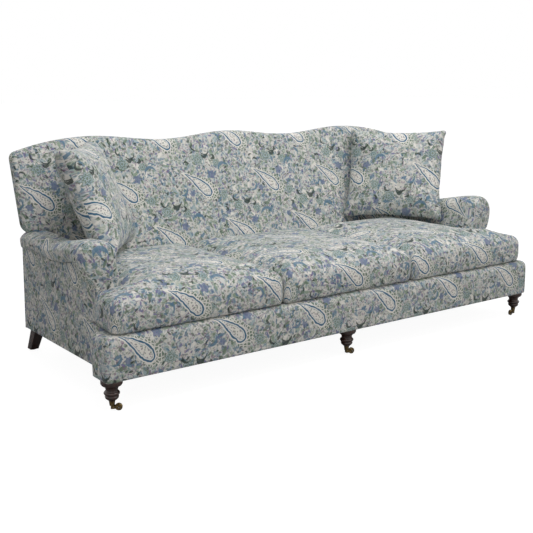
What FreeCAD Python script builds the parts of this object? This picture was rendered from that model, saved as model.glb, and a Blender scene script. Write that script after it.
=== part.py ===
import FreeCAD, Part
import math
import os

os.makedirs("parts", exist_ok=True)
V = FreeCAD.Vector

# Camelback sofa with three loose seat cushions, two corner pillows and front casters.
# All sizes are millimetres. X runs to the right as seen from the front, Y runs back
# from the front face of the base and Z runs up from the floor. The finished part is
# moved at the end, so that its origin is the middle of its footprint.

# Base
base_half_width = 1220.0
base_block_depth = 142.0
base_bottom = 120.0
base_top = 292.0
base_top_round = 30.0
base_front_round = 14.0
base_return_round = 32.0
base_overhang = 60.0
body_rear = 932.0
cover = 10.0

# Timber
rail_thick = 24.0
platform_thick = 30.0
foot_plate_thick = 3.0
dust_cloth = 1.5
block_size = 60.0
block_half_width = 40.0
front_block_inner = 50.0
cross_rail_height = 60.0
cross_rail_width = 28.0
cross_rail_spacing = 560.0

# Webbing and seat platform
strap_width = 60.0
strap_thick = 2.0
strap_end_gap = 200.0
straps_each_side = 6
side_straps = 4
side_strap_first = 340.0
side_strap_rear_gap = 157.0

# Back
back_kink = 490.0
back_rear_rake = math.radians(12.2)
back_front_rake = math.radians(15.5)
seat_level = 490.0
back_thick_at_seat = 82.0
wing_bottom = 552.0
wing_bottom_overhang = 3.0
wing_flare = 18.0
wing_lower_round = 46.0
hump_height = 970.0
dip_drop = 29.0
hump_share = 0.638
dip_share = 0.3115
shoulder_setback = 39.0
shoulder_drop = 51.0
back_edge_round = 22.0
top_rail_inset = 22.0
outside_back_inset = 30.0
top_rail_height = 125.0
lower_rail_bottom = 350.0
lower_rail_height = 60.0
post_width = 46.0
end_post_setback = 34.0
back_strap_overlap = 25.0

# Arms
arm_width = 132.0
arm_front = 222.0
arm_dome_depth = 53.0
arm_lean_start = 455.0
arm_lean = 16.0
arm_post_setback = 22.0
arm_post_inset = 14.0
arm_front_top = 612.0
arm_rear_top = 540.0
arm_front_overhang = 45.0
arm_rear_overhang = 14.0
arm_rail_setback = 36.0
arm_rail_height = 40.0

# Stations along the arm: distance behind the arm's front face, how far the outline is
# drawn in, height of the roll's top, height of its underside, and how far it overhangs.
arm_front_stations = [
    (0.0, 36.0, arm_front_top, 440.0, arm_front_overhang),
    (7.0, 19.0, arm_front_top, 440.0, arm_front_overhang),
    (22.0, 6.0, arm_front_top, 444.0, arm_front_overhang),
    (arm_dome_depth, 0.0, 610.0, 470.0, arm_front_overhang),
]
arm_rear_stations = [
    (arm_dome_depth, 0.0, 610.0, 470.0, arm_front_overhang),
    (118.0, 0.0, 603.0, 515.0, 44.0),
    (238.0, 0.0, 583.0, 497.0, 38.0),
    (348.0, 0.0, 562.0, 489.0, 32.0),
    (538.0, 0.0, 557.0, back_kink, 24.0),
    (body_rear - arm_front, 0.0, arm_rear_top, back_kink, arm_rear_overhang),
    (body_rear - arm_front + 12.0, 12.0, arm_rear_top, back_kink, arm_rear_overhang),
]

# Legs and casters
front_leg_inset = 42.0
front_leg_setback = 44.0
leg_cap_radius = 42.0
rear_leg_top = 48.0
rear_leg_foot = 38.0
rear_leg_setback = 45.0
rear_leg_splay = 3.0
rear_leg_inset = 44.0
rear_leg_rake = 82.0
glide_radius = 14.0
glide_thick = 3.0
bolt_radius = 5.0
bolt_bottom = 66.0
bolt_top = 190.0
rear_bolt_bottom = 102.0
bolt_clearance = 0.2
plate_radius = 26.0
ferrule_bottom = 20.0
ferrule_top = 38.0
ferrule_lip_radius = 12.0
ferrule_end_radius = 9.6
ferrule_floor = 3.0
ferrule_wall = 1.6
seat_clearance = 0.2
stem_radius = 3.0
stem_top = 48.0
running_clearance = 0.3
running_fit = 0.08
wheel_radius = 14.0
wheel_width = 12.0
wheel_edge = 2.2
wheel_trail = 25.0
axle_radius = 1.5
fork_cheek = 2.5
fork_gap = 0.6
fork_end_radius = 5.0
horn_bottom = 8.0
horn_half_length = 5.2
pin_head_radius = 2.6
pin_head = 1.2
caster_angles = {"left": -30.0, "centre": -10.0, "right": -172.0}

# Seat cushions
seam_share = 0.3677
cushion_gap = 0.3
cushion_front = 4.0
ear_setback = 30.0
ear_rear_setback = 48.0
cushion_corner_round = 46.0
cushion_seam_round = 23.0
cushion_notch_round = 8.0
core_margin = 30.0
core_front_margin = 42.0
core_top_margin = 50.0
core_lift = 14.0
core_ear_top = 118.0
core_top = 144.0

# Heights of the cushion's sections above the platform, with how far the outline is
# drawn in at the sides, at the front and at the rear.
cushion_side_sections = [
    (0.0, 20.0, 26.0, 14.0),
    (12.0, 5.0, 8.0, 3.0),
    (62.0, 0.0, 0.0, 0.0),
    (108.0, 2.0, 6.0, 0.0),
    (138.0, 18.0, 30.0, 6.0),
]
cushion_crown_sections = [
    (138.0, 18.0, 30.0, 6.0),
    (160.0, 44.0, 66.0, 14.0),
    (178.0, 98.0, 134.0, 36.0),
    (188.0, 160.0, 220.0, 76.0),
    (193.0, 232.0, 310.0, 130.0),
]

# Corner pillows
pillow_width = 545.0
pillow_height = 522.0
pillow_draw_in = 20.0
pillow_turn = 52.0
pillow_lean = 22.0
pillow_from_arm = 198.0
pillow_from_rear = 319.0
insert_share = 0.93

# Distance from the middle plane of the pillow, inset of its outline there, how far
# the sides are drawn in, and the corner radius.
pillow_sections = [
    (-84.0, 168.0, -8.0, 70.0),
    (-68.0, 88.0, -2.0, 76.0),
    (-34.0, 34.0, 8.0, 50.0),
    (0.0, 0.0, 20.0, 7.0),
    (34.0, 34.0, 8.0, 50.0),
    (68.0, 88.0, -2.0, 76.0),
    (84.0, 168.0, -8.0, 70.0),
]

# Sizes that follow from the ones above
body_half_width = base_half_width - base_overhang
arm_inner = body_half_width - arm_width
end_post_outer = body_half_width - end_post_setback
arm_rail_outer = body_half_width - arm_rail_setback
wing_bottom_half_width = body_half_width + wing_bottom_overhang
wing_top_half_width = wing_bottom_half_width + wing_flare
shoulder_half_width = wing_top_half_width - shoulder_setback
hump_spacing = base_half_width * hump_share
dip_spacing = base_half_width * dip_share
dip_height = hump_height - dip_drop
shoulder_height = hump_height - shoulder_drop
top_rail_bottom = hump_height - top_rail_height
back_front_at_seat = body_rear - back_thick_at_seat
rail_top = base_top - platform_thick
strap_pitch = (body_half_width - strap_end_gap) / straps_each_side
side_strap_pitch = (body_rear - side_strap_rear_gap - side_strap_first) / (side_straps - 1)
rear_leg_x = body_half_width - rear_leg_setback
rear_leg_foot_x = rear_leg_x - rear_leg_splay
rear_leg_top_y = body_rear - rear_leg_inset
rear_leg_foot_y = rear_leg_top_y + rear_leg_rake
seam_half_width = arm_inner * seam_share
ear_half_width = base_half_width - ear_setback
ear_rear_half_width = base_half_width - ear_rear_setback
pillow_x = arm_inner - pillow_from_arm
pillow_y = body_rear - pillow_from_rear
timber_bottom = base_bottom + foot_plate_thick
side_rail_top = rail_top + strap_thick
platform_bottom = side_rail_top + strap_thick
timber_front = cover
timber_rear = body_rear - cover
timber_half_width = body_half_width - cover
block_front = timber_front + rail_thick
block_rear = timber_rear - rail_thick
front_leg_x = base_half_width - front_leg_inset
front_leg_y = front_leg_setback

parts = {}


def box(x0, x1, y0, y1, z0, z1):
    return Part.makeBox(x1 - x0, y1 - y0, z1 - z0, V(x0, y0, z0))


def mirrored(shape):
    return shape.mirror(V(0, 0, 0), V(1, 0, 0))


def joined(shapes):
    return shapes[0].fuse(shapes[1:]).removeSplitter()


def group(shapes):
    return Part.Compound(shapes)


def prism_yz(points, x0, x1):
    wire = Part.makePolygon([V(x0, y, z) for y, z in points + points[:1]])
    return Part.Face(wire).extrude(V(x1 - x0, 0, 0))


def edges_where(shape, test):
    return [edge for edge in shape.Edges if test(edge)]


def path(start, steps, place):
    """Wire from a start point: a pair is a line's end, two pairs are an arc."""
    edges = []
    here = start
    for step in steps:
        if len(step) == 2:
            edges.append(Part.makeLine(place(*here), place(*step)))
            here = step
        else:
            via = (step[0], step[1])
            end = (step[2], step[3])
            edges.append(Part.Arc(place(*here), place(*via), place(*end)).toShape())
            here = end
    return Part.Wire(edges)


def corner_arc(before, corner, after, reach):
    """Arc that rounds a corner, touching both sides at the given reach from it."""
    corner = V(*corner, 0)
    back = V(*before, 0) - corner
    onward = V(*after, 0) - corner
    back.normalize()
    onward.normalize()
    half = back.getAngle(onward) / 2
    middle = back + onward
    middle.normalize()
    near = reach / math.cos(half) - reach * math.tan(half)
    return [(p.x, p.y) for p in (corner + back * reach, corner + middle * near, corner + onward * reach)]


def rounded(points, radii, place):
    """Closed outline through corner points, each corner replaced by an arc."""
    count = len(points)
    corners = []
    for index in range(count):
        before = points[index - 1]
        after = points[(index + 1) % count]
        back = V(*before, 0) - V(*points[index], 0)
        onward = V(*after, 0) - V(*points[index], 0)
        reach = radii[index] / math.tan(back.getAngle(onward) / 2)
        corners.append(corner_arc(before, points[index], after, reach))
    steps = []
    for index in range(count):
        start, via, end = corners[index]
        if index:
            steps.append(start)
        steps.append((*via, *end))
    steps.append(corners[0][0])
    return path(corners[0][0], steps, place)


def loft(wires):
    return Part.makeLoft(wires, True, True)


def rear_line(z):
    return body_rear + max(0.0, z - back_kink) * math.tan(back_rear_rake)


def front_line(z):
    return back_front_at_seat + (z - seat_level) * math.tan(back_front_rake)


def back_layer(near, far):
    """Upright slab that follows the rear face of the back, between two depths."""
    low = base_bottom
    high = hump_height + 10
    points = [
        (body_rear - far, low),
        (body_rear - near, low),
        (body_rear - near, back_kink),
        (rear_line(high) - near, high),
        (rear_line(high) - far, high),
        (body_rear - far, back_kink),
    ]
    return prism_yz(points, -base_half_width, base_half_width)


def s_curve(x0, z0, x1, z1):
    """Two equal arcs from one level point to another, as arc steps."""
    mid_x = (x0 + x1) / 2
    mid_z = (z0 + z1) / 2
    half_run = abs(mid_x - x0)
    half_rise = abs(mid_z - z0)
    radius = (half_run ** 2 + half_rise ** 2) / (2 * half_rise)
    quarter_x = (x1 - x0) / 4
    sag = radius - math.sqrt(radius ** 2 - quarter_x ** 2)
    sign = 1 if z1 > z0 else -1
    first = (x0 + quarter_x, z0 + sign * sag, mid_x, mid_z)
    second = (x1 - quarter_x, z1 - sign * sag, x1, z1)
    return [first, second]


def back_outline(inset, y):
    """Front view of the upper back: three humps, rounded shoulders and wing ends."""
    peak = hump_height - inset
    dip = dip_height - inset
    shoulder = (shoulder_half_width - inset, shoulder_height - inset)
    run = shoulder[0] - hump_spacing
    drop = peak - shoulder[1]
    radius = (run ** 2 + drop ** 2) / (2 * drop)
    via = (hump_spacing + run / 2, peak - radius + math.sqrt(radius ** 2 - (run / 2) ** 2))
    slope = run / (radius - drop)
    bottom = wing_bottom + inset
    wing_low = (wing_bottom_half_width - inset, bottom)
    wing_high = (wing_top_half_width - inset, shoulder[1] - slope * (wing_top_half_width - shoulder_half_width))
    reach = math.hypot(wing_high[0] - shoulder[0], wing_high[1] - shoulder[1])
    high_corner = corner_arc(shoulder, wing_high, wing_low, reach)
    low_corner = corner_arc(wing_high, wing_low, (0, bottom), wing_lower_round)
    steps = s_curve(0, peak, dip_spacing, dip)
    steps += s_curve(dip_spacing, dip, hump_spacing, peak)
    steps.append((*via, *shoulder))
    steps.append((*high_corner[1], *high_corner[2]))
    steps.append(low_corner[0])
    steps.append((*low_corner[1], *low_corner[2]))
    steps.append((0, bottom))
    right = path((0, peak), steps, lambda x, z: V(x, y, z))
    left = mirrored(right)
    return Part.Face(Part.Wire(Part.__sortEdges__(right.Edges + left.Edges)))


def back_body(inset):
    return back_outline(inset, block_front).extrude(V(0, 2 * body_rear, 0))


def arm_outline(y, inset, top, under, overhang, step, bottom):
    """Section of the right arm: an upright inner face, a rolled top and a flat outside."""
    top -= inset
    outer = body_half_width + overhang - inset
    outside = body_half_width - min(inset, cover)
    inner = arm_inner + inset / 2
    mid_z = (top + under) / 2 + (top - under) * 0.1
    top_x = (inner + outer) / 2 + 4
    steps = []
    if step:
        steps.append((outside - cover, under))
        steps.append((outside, under))
        first = (outside - cover, bottom)
    else:
        steps.append((outside, under))
        first = (outside, bottom)
    steps += [
        (outside + (outer - outside) * 0.72, under + (mid_z - under) * 0.38, outer, mid_z),
        (outer - (outer - top_x) * 0.26, top - (top - mid_z) * 0.27, top_x, top),
        (top_x - (top_x - inner) * 0.62, top - (top - mid_z) * 0.24, inner + arm_lean, mid_z - 6),
        (inner, arm_lean_start),
        (inner, bottom),
        first,
    ]
    return path(first, steps, lambda x, z: V(x, y, z))


def rolled_arm():
    front = []
    for behind, inset, top, under, overhang in arm_front_stations:
        front.append(arm_outline(arm_front + behind, inset, top, under, overhang, False, base_top))
    rear = []
    for behind, inset, top, under, overhang in arm_rear_stations:
        bottom = platform_bottom
        rear.append(arm_outline(arm_front + behind, inset, top, under, overhang, True, bottom))
    return loft(front).fuse(loft(rear))


# Base timber
front_rail = box(
    -(base_half_width - cover), base_half_width - cover,
    timber_front, timber_front + rail_thick, timber_bottom, rail_top,
)
rear_rail = box(
    -timber_half_width, timber_half_width,
    timber_rear - rail_thick, timber_rear, timber_bottom, rail_top,
)
side_rail = box(
    timber_half_width - rail_thick, timber_half_width,
    block_front + block_size, block_rear, timber_bottom, side_rail_top,
)
parts["front_rail"] = front_rail
parts["rear_rail"] = rear_rail
parts["side_rail_left"] = mirrored(side_rail)
parts["side_rail_right"] = side_rail


def bolt_hole(x, y):
    radius = bolt_radius + bolt_clearance
    return Part.makeCylinder(radius, bolt_top - base_bottom + bolt_clearance, V(x, y, base_bottom))


front_leg_spots = {"left": -front_leg_x, "centre": 0.0, "right": front_leg_x}
rear_leg_spots = {"left": -rear_leg_x, "centre": 0.0, "right": rear_leg_x}

front_block = box(
    front_leg_x - front_block_inner, base_half_width - cover,
    block_front, block_front + block_size, timber_bottom, rail_top,
)
rear_block = box(
    timber_half_width - rail_thick - block_size, timber_half_width - rail_thick,
    block_rear - block_size, block_rear, timber_bottom, rail_top,
)
middle_front_block = box(
    -block_half_width, block_half_width,
    block_front, block_front + block_size, timber_bottom, rail_top,
)
middle_rear_block = box(
    -block_half_width, block_half_width,
    block_rear - block_size, block_rear, timber_bottom, rail_top,
)
blocks = [
    mirrored(front_block), middle_front_block, front_block,
    mirrored(rear_block), middle_rear_block, rear_block,
]
holes = [bolt_hole(x, front_leg_y) for x in front_leg_spots.values()]
holes += [bolt_hole(x, rear_leg_top_y) for x in rear_leg_spots.values()]
parts["corner_blocks"] = group([block.cut(holes).Solids[0] for block in blocks])

cross_rails = []
for x in (-cross_rail_spacing, 0.0, cross_rail_spacing):
    reach = block_size if x == 0.0 else 0.0
    cross_rails.append(box(
        x - cross_rail_width / 2, x + cross_rail_width / 2,
        block_front + reach, block_rear - reach,
        timber_bottom, timber_bottom + cross_rail_height,
    ))
parts["cross_rails"] = group(cross_rails)

# Back timber: kinked posts, a lower rail in three lengths and the sawn top rail
timber_layer = back_layer(cover, cover + rail_thick)


def back_board(x0, x1, z0, z1):
    return box(x0, x1, 0, 2 * body_rear, z0, z1)


def in_layer(layer, board):
    return board.common(layer).Solids[0]


post_spans = [
    (-end_post_outer, -end_post_outer + post_width),
    (-dip_spacing - post_width / 2, -dip_spacing + post_width / 2),
    (dip_spacing - post_width / 2, dip_spacing + post_width / 2),
    (end_post_outer - post_width, end_post_outer),
]
posts = []
for x0, x1 in post_spans:
    posts.append(in_layer(timber_layer, back_board(x0, x1, rail_top, top_rail_bottom)))
lower_rails = []
for left_span, right_span in zip(post_spans, post_spans[1:]):
    lower_rails.append(in_layer(timber_layer, back_board(
        left_span[1], right_span[0],
        lower_rail_bottom, lower_rail_bottom + lower_rail_height,
    )))
above_posts = back_board(-timber_half_width, timber_half_width, top_rail_bottom, hump_height)
camel_rail = in_layer(timber_layer, back_body(top_rail_inset).common(above_posts))
parts["back_posts"] = group(posts)
parts["back_lower_rails"] = group(lower_rails)
parts["back_top_rail"] = camel_rail

# Webbing
straps = []
for index in range(-straps_each_side, straps_each_side + 1):
    x = index * strap_pitch
    straps.append(box(
        x - strap_width / 2, x + strap_width / 2,
        timber_front, timber_rear, rail_top, rail_top + strap_thick,
    ))
for index in range(side_straps):
    y = side_strap_first + index * side_strap_pitch
    straps.append(box(
        -timber_half_width, timber_half_width,
        y - strap_width / 2, y + strap_width / 2,
        side_rail_top, side_rail_top + strap_thick,
    ))
parts["seat_webbing"] = group(straps)

strap_layer = back_layer(cover + rail_thick, cover + rail_thick + strap_thick)
back_straps = []
for index in range(-straps_each_side, straps_each_side + 1):
    x = index * strap_pitch
    back_straps.append(in_layer(strap_layer, back_board(
        x - strap_width / 2, x + strap_width / 2,
        lower_rail_bottom + back_strap_overlap, top_rail_bottom + back_strap_overlap,
    )))
parts["back_webbing"] = group(back_straps)

# Arm timber
post_y = arm_front + arm_post_setback
post_wire = arm_outline(
    post_y, arm_post_inset, arm_front_top, arm_rear_stations[0][3], arm_front_overhang,
    True, side_rail_top,
)
arm_post = Part.Face(post_wire).extrude(V(0, rail_thick, 0))
arm_rail = box(
    arm_rail_outer - rail_thick, arm_rail_outer,
    post_y + rail_thick, block_rear, back_kink - arm_rail_height, back_kink,
)
parts["arm_post_left"] = mirrored(arm_post)
parts["arm_post_right"] = arm_post
parts["arm_rail_left"] = mirrored(arm_rail)
parts["arm_rail_right"] = arm_rail

# Seat platform, a tee that reaches in front of the arms
platform_rear = front_line(platform_bottom)
platform_points = [
    (-timber_half_width, base_block_depth), (timber_half_width, base_block_depth),
    (timber_half_width, arm_front), (arm_inner, arm_front),
    (arm_inner, platform_rear), (-arm_inner, platform_rear),
    (-arm_inner, arm_front), (-timber_half_width, arm_front),
]
platform_wire = Part.makePolygon(
    [V(x, y, platform_bottom) for x, y in platform_points + platform_points[:1]]
)
parts["seat_deck"] = Part.Face(platform_wire).extrude(V(0, 0, base_top - platform_bottom))

# Padded front of the base, wrapped round its ends
border = box(
    -base_half_width, base_half_width, 0, base_block_depth, base_bottom, base_top,
)


def upright_at(y):
    def test(edge):
        extent = edge.BoundBox
        upright = extent.ZLength > (base_top - base_bottom) / 2
        return upright and extent.YLength < 1 and abs(extent.YMin - y) < 1
    return test


def top_front_or_end(edge):
    extent = edge.BoundBox
    at_top = extent.ZLength < 0.1 and abs(extent.ZMax - base_top) < 0.1
    return at_top and not (extent.YLength < 0.1 and extent.YMin > base_block_depth - 1)


border = border.makeFillet(base_front_round, edges_where(border, upright_at(0)))
border = border.makeFillet(
    base_return_round, edges_where(border, upright_at(base_block_depth)),
)
border = border.makeFillet(base_top_round, edges_where(border, top_front_or_end))
inside_block = box(
    -(base_half_width - cover), base_half_width - cover,
    cover, base_block_depth - cover, base_bottom, side_rail_top,
)
inside_body = box(
    -timber_half_width, timber_half_width, cover, base_block_depth,
    base_bottom, side_rail_top,
)
parts["front_border"] = border.cut([inside_block, inside_body])

# Back upholstery: the rounded upper back over a narrower foot between the arms
def back_section(low, high):
    points = [
        (front_line(low), low), (rear_line(low), low), (rear_line(back_kink), back_kink),
        (rear_line(high), high), (front_line(high), high),
    ]
    return prism_yz(points, -base_half_width, base_half_width)


def back_rim(edge):
    middle = edge.valueAt((edge.FirstParameter + edge.LastParameter) / 2)
    ahead = abs(middle.y - front_line(middle.z)) < 0.5
    behind = abs(middle.y - rear_line(middle.z)) < 0.5
    return ahead or behind


upper_back = back_body(0.0).common(back_section(platform_bottom, hump_height + 10))
upper_back = upper_back.makeFillet(back_edge_round, edges_where(upper_back, back_rim))
foot_top = wing_bottom + 2 * back_edge_round
back_foot = back_section(platform_bottom, foot_top).common(
    back_board(-arm_inner, arm_inner, platform_bottom, foot_top)
)
outer_layer = back_layer(0.0, cover)
panel_low = box(
    -body_half_width, body_half_width, timber_rear, body_rear, base_bottom, back_kink,
)
panel_middle = back_board(-arm_inner, arm_inner, back_kink, foot_top).common(outer_layer)
panel_high = back_body(outside_back_inset).common(outer_layer)
parts["outside_back"] = joined([panel_low, panel_middle, panel_high])

# Arm upholstery and outside panels
arm = rolled_arm()
behind_panel = box(
    0, base_half_width, timber_rear, 2 * body_rear, base_bottom, back_kink,
)
arm = arm.cut([arm_post, arm_rail, behind_panel] + posts + lower_rails)
parts["arm_left"] = mirrored(arm)
parts["arm_right"] = arm

outside_points = [
    (base_block_depth, base_bottom), (timber_rear, base_bottom), (timber_rear, back_kink),
]
for station in reversed(arm_rear_stations[:-2]):
    outside_points.append((arm_front + station[0], station[3]))
outside_points.append((arm_front + arm_dome_depth, base_top))
outside_points.append((base_block_depth, base_top))
outside_arm = prism_yz(outside_points, timber_half_width, body_half_width)
parts["outside_arm_left"] = mirrored(outside_arm)
parts["outside_arm_right"] = outside_arm

parts["inside_back"] = joined([upper_back, back_foot]).cut(
    [parts["outside_back"], camel_rail] + posts + lower_rails + back_straps
)

# Legs. The front leg's profile gives radius and height, with the cove and bulb as arcs.
def leg_level(share):
    return ferrule_top + (base_bottom - ferrule_top) * share


leg_profile = [
    (leg_cap_radius, base_bottom),
    (leg_cap_radius, leg_level(0.817)),
    (38.0, leg_level(0.762)),
    (27.5, leg_level(0.689), 23.0, leg_level(0.524)),
    (23.0, leg_level(0.482)),
    (31.5, leg_level(0.390), 23.5, leg_level(0.287)),
    (27.0, leg_level(0.226)),
    (25.0, leg_level(0.146)),
    (ferrule_lip_radius, ferrule_top),
]
tip_top_radius = ferrule_lip_radius - ferrule_wall - seat_clearance
tip_end_radius = ferrule_end_radius - ferrule_wall - seat_clearance
tip_bottom = ferrule_bottom + ferrule_floor + seat_clearance
bore_radius = stem_radius + running_fit
bore_top = stem_top + running_clearance


def turned(profile, start, x, y):
    wire = path(start, profile, lambda r, z: V(x + r, y, z))
    return Part.Face(wire).revolve(V(x, y, 0), V(0, 0, 1), 360)


def front_leg(x, y):
    steps = leg_profile + [
        (tip_top_radius, ferrule_top),
        (tip_end_radius, tip_bottom),
        (bore_radius, tip_bottom),
        (bore_radius, bore_top),
        (0, bore_top),
        (0, bolt_bottom),
        (bolt_radius + bolt_clearance, bolt_bottom),
        (bolt_radius + bolt_clearance, base_bottom),
        leg_profile[0],
    ]
    return turned(steps[1:], leg_profile[0], x, y)


def square(x, y, z, size):
    half = size / 2
    points = [(-half, -half), (half, -half), (half, half), (-half, half), (-half, -half)]
    return Part.makePolygon([V(x + dx, y + dy, z) for dx, dy in points])


def rear_leg(x, foot_x):
    body = loft([
        square(foot_x, rear_leg_foot_y, glide_thick, rear_leg_foot),
        square(x, rear_leg_top_y, timber_bottom, rear_leg_top),
    ])
    radius = bolt_radius + bolt_clearance
    hole = Part.makeCylinder(radius, timber_bottom, V(x, rear_leg_top_y, rear_bolt_bottom))
    return body.cut(hole)


bolts = []
plates = []
glides = []
cloth_cuts = []
for side, x in front_leg_spots.items():
    parts["leg_front_" + side] = front_leg(x, front_leg_y)
    spot = V(x, front_leg_y, base_bottom)
    plate = Part.makeCylinder(plate_radius, foot_plate_thick, spot)
    plates.append(plate.cut(bolt_hole(x, front_leg_y)))
    cloth_cuts.append(Part.makeCylinder(plate_radius + running_clearance, foot_plate_thick, spot))
    bolts.append(Part.makeCylinder(bolt_radius, bolt_top - bolt_bottom, V(x, front_leg_y, bolt_bottom)))
for side, x in rear_leg_spots.items():
    foot_x = math.copysign(rear_leg_foot_x, x) if x else 0.0
    parts["leg_rear_" + side] = rear_leg(x, foot_x)
    cloth_cuts.append(box(
        x - rear_leg_top / 2 - 1, x + rear_leg_top / 2 + 1,
        rear_leg_top_y - rear_leg_top / 2 - 1, rear_leg_top_y + rear_leg_top / 2 + 3,
        base_bottom, timber_bottom,
    ))
    glides.append(Part.makeCylinder(glide_radius, glide_thick, V(foot_x, rear_leg_foot_y, 0)))
    bolts.append(Part.makeCylinder(
        bolt_radius, bolt_top - rear_bolt_bottom, V(x, rear_leg_top_y, rear_bolt_bottom),
    ))
parts["leg_bolts"] = group(bolts)
parts["leg_plates"] = group(plates)
parts["rear_glides"] = group(glides)

dust_cover = box(
    -timber_half_width, timber_half_width, block_front, block_rear,
    timber_bottom - dust_cloth, timber_bottom,
)
parts["dust_cover"] = dust_cover.cut(cloth_cuts)


# Casters: a socket on the leg, a swivelling horn, and a wheel on its pin
def ferrule(x, y):
    lip = ferrule_lip_radius
    end = ferrule_end_radius
    steps = [
        (lip, ferrule_top),
        (lip - ferrule_wall, ferrule_top),
        (end - ferrule_wall, ferrule_bottom + ferrule_floor),
        (bore_radius, ferrule_bottom + ferrule_floor),
        (bore_radius, ferrule_bottom),
        (end, ferrule_bottom),
    ]
    return turned(steps, (end, ferrule_bottom), x, y)


def horn():
    inner = wheel_width / 2 + fork_gap
    outer = inner + fork_cheek
    top = ferrule_bottom - running_clearance
    bridge = box(-horn_half_length, horn_half_length, -outer, outer, horn_bottom, top)
    corners = edges_where(bridge, lambda edge: edge.BoundBox.ZLength > 5 and edge.BoundBox.XMax < 0)
    bridge = bridge.makeFillet(4.5, corners)
    stem = Part.makeCylinder(stem_radius, stem_top - horn_bottom - 2, V(0, 0, horn_bottom + 2))
    pieces = [bridge, stem]
    for y0 in (-outer, inner):
        end = Part.makeCylinder(fork_end_radius, fork_cheek, V(wheel_trail, y0, wheel_radius), V(0, 1, 0))
        web = Part.makePolygon([
            V(0, y0, horn_bottom), V(wheel_trail - 1, y0, wheel_radius - fork_end_radius),
            V(wheel_trail + 1, y0, wheel_radius + fork_end_radius), V(0, y0, top),
            V(0, y0, horn_bottom),
        ])
        pieces += [end, Part.Face(web).extrude(V(0, fork_cheek, 0))]
    eye = axle_radius + bolt_clearance / 2
    hole = Part.makeCylinder(eye, 2 * outer + 2, V(wheel_trail, -outer - 1, wheel_radius), V(0, 1, 0))
    return joined(pieces).cut(hole)


def axle_pin():
    outer = wheel_width / 2 + fork_gap + fork_cheek
    centre = V(wheel_trail, -outer - pin_head, wheel_radius)
    shaft = Part.makeCylinder(axle_radius, 2 * (outer + pin_head), centre, V(0, 1, 0))
    near = Part.makeCylinder(pin_head_radius, pin_head, centre, V(0, 1, 0))
    far = Part.makeCylinder(pin_head_radius, pin_head, V(wheel_trail, outer, wheel_radius), V(0, 1, 0))
    return joined([shaft, near, far])


def wheel():
    half = wheel_width / 2
    bore = axle_radius + running_fit
    edge = wheel_edge
    steps = [
        (wheel_radius - edge, -half),
        (wheel_radius, -half + edge),
        (wheel_radius, half - edge),
        (wheel_radius - edge, half),
        (bore, half),
        (bore, -half),
    ]
    wire = path((bore, -half), steps, lambda r, y: V(wheel_trail, y, wheel_radius + r))
    return Part.Face(wire).revolve(V(wheel_trail, 0, wheel_radius), V(0, 1, 0), 360)


for side, x in front_leg_spots.items():
    parts["caster_socket_" + side] = ferrule(x, front_leg_y)
    for name, make in (("horn", horn), ("pin", axle_pin), ("wheel", wheel)):
        piece = make()
        piece.rotate(V(0, 0, 0), V(0, 0, 1), caster_angles[side])
        piece.translate(V(x, front_leg_y, 0))
        parts["caster_" + name + "_" + side] = piece


# Seat cushions
cushion_bottom = base_top + cushion_gap


def cushion_plan(z, side_inset, front_inset, rear_inset, left, right, ear):
    """Corner points of a cushion at one height, with an ear on the right if asked."""
    front = cushion_front + front_inset
    rear = front_line(z) - cushion_gap - rear_inset
    inner = left + side_inset
    body = right - side_inset
    if not ear:
        return [(inner, front), (body, front), (body, rear), (inner, rear)]
    notch = arm_front - cushion_gap - side_inset
    return [
        (inner, front), (ear_half_width - side_inset, front),
        (ear_rear_half_width - side_inset, notch), (body, notch),
        (body, rear), (inner, rear),
    ]


def cushion_loft(sections, left, right, ear):
    wires = []
    for lift, side_inset, front_inset, rear_inset in sections:
        z = cushion_bottom + lift
        points = cushion_plan(z, side_inset, front_inset, rear_inset, left, right, ear)
        radii = [cushion_corner_round] * len(points)
        radii[0] = cushion_seam_round
        if ear:
            radii[3] = cushion_notch_round
        wires.append(rounded(points, radii, lambda x, y: V(x, y, z)))
    return loft(wires)


def cushion(left, right, ear):
    sides = cushion_loft(cushion_side_sections, left, right, ear)
    crown = cushion_loft(cushion_crown_sections, left, right, False)
    return joined([sides, crown])


def core(left, right, ear):
    low = cushion_bottom + core_lift
    lower = cushion_plan(low, core_margin, core_front_margin, core_margin, left, right, ear)
    upper = cushion_plan(low, core_margin, core_top_margin, core_margin, left, right, False)
    pieces = []
    step = cushion_bottom + core_ear_top
    for points, z0, z1 in ((lower, low, step), (upper, step, cushion_bottom + core_top)):
        wire = Part.makePolygon([V(x, y, z0) for x, y in points + points[:1]])
        pieces.append(Part.Face(wire).extrude(V(0, 0, z1 - z0)))
    return joined(pieces)


end_left = seam_half_width + cushion_gap / 2
end_right = arm_inner - cushion_gap
middle = seam_half_width - cushion_gap / 2
end_cushion = cushion(end_left, end_right, True)
end_core = core(end_left, end_right, True)
middle_cushion = cushion(-middle, middle, False)
middle_core = core(-middle, middle, False)
end_cover = end_cushion.cut(end_core)
parts["seat_cushion_left"] = mirrored(end_cover)
parts["seat_cushion_centre"] = middle_cushion.cut(middle_core)
parts["seat_cushion_right"] = end_cover
parts["cushion_core_left"] = mirrored(end_core)
parts["cushion_core_centre"] = middle_core
parts["cushion_core_right"] = end_core


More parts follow.
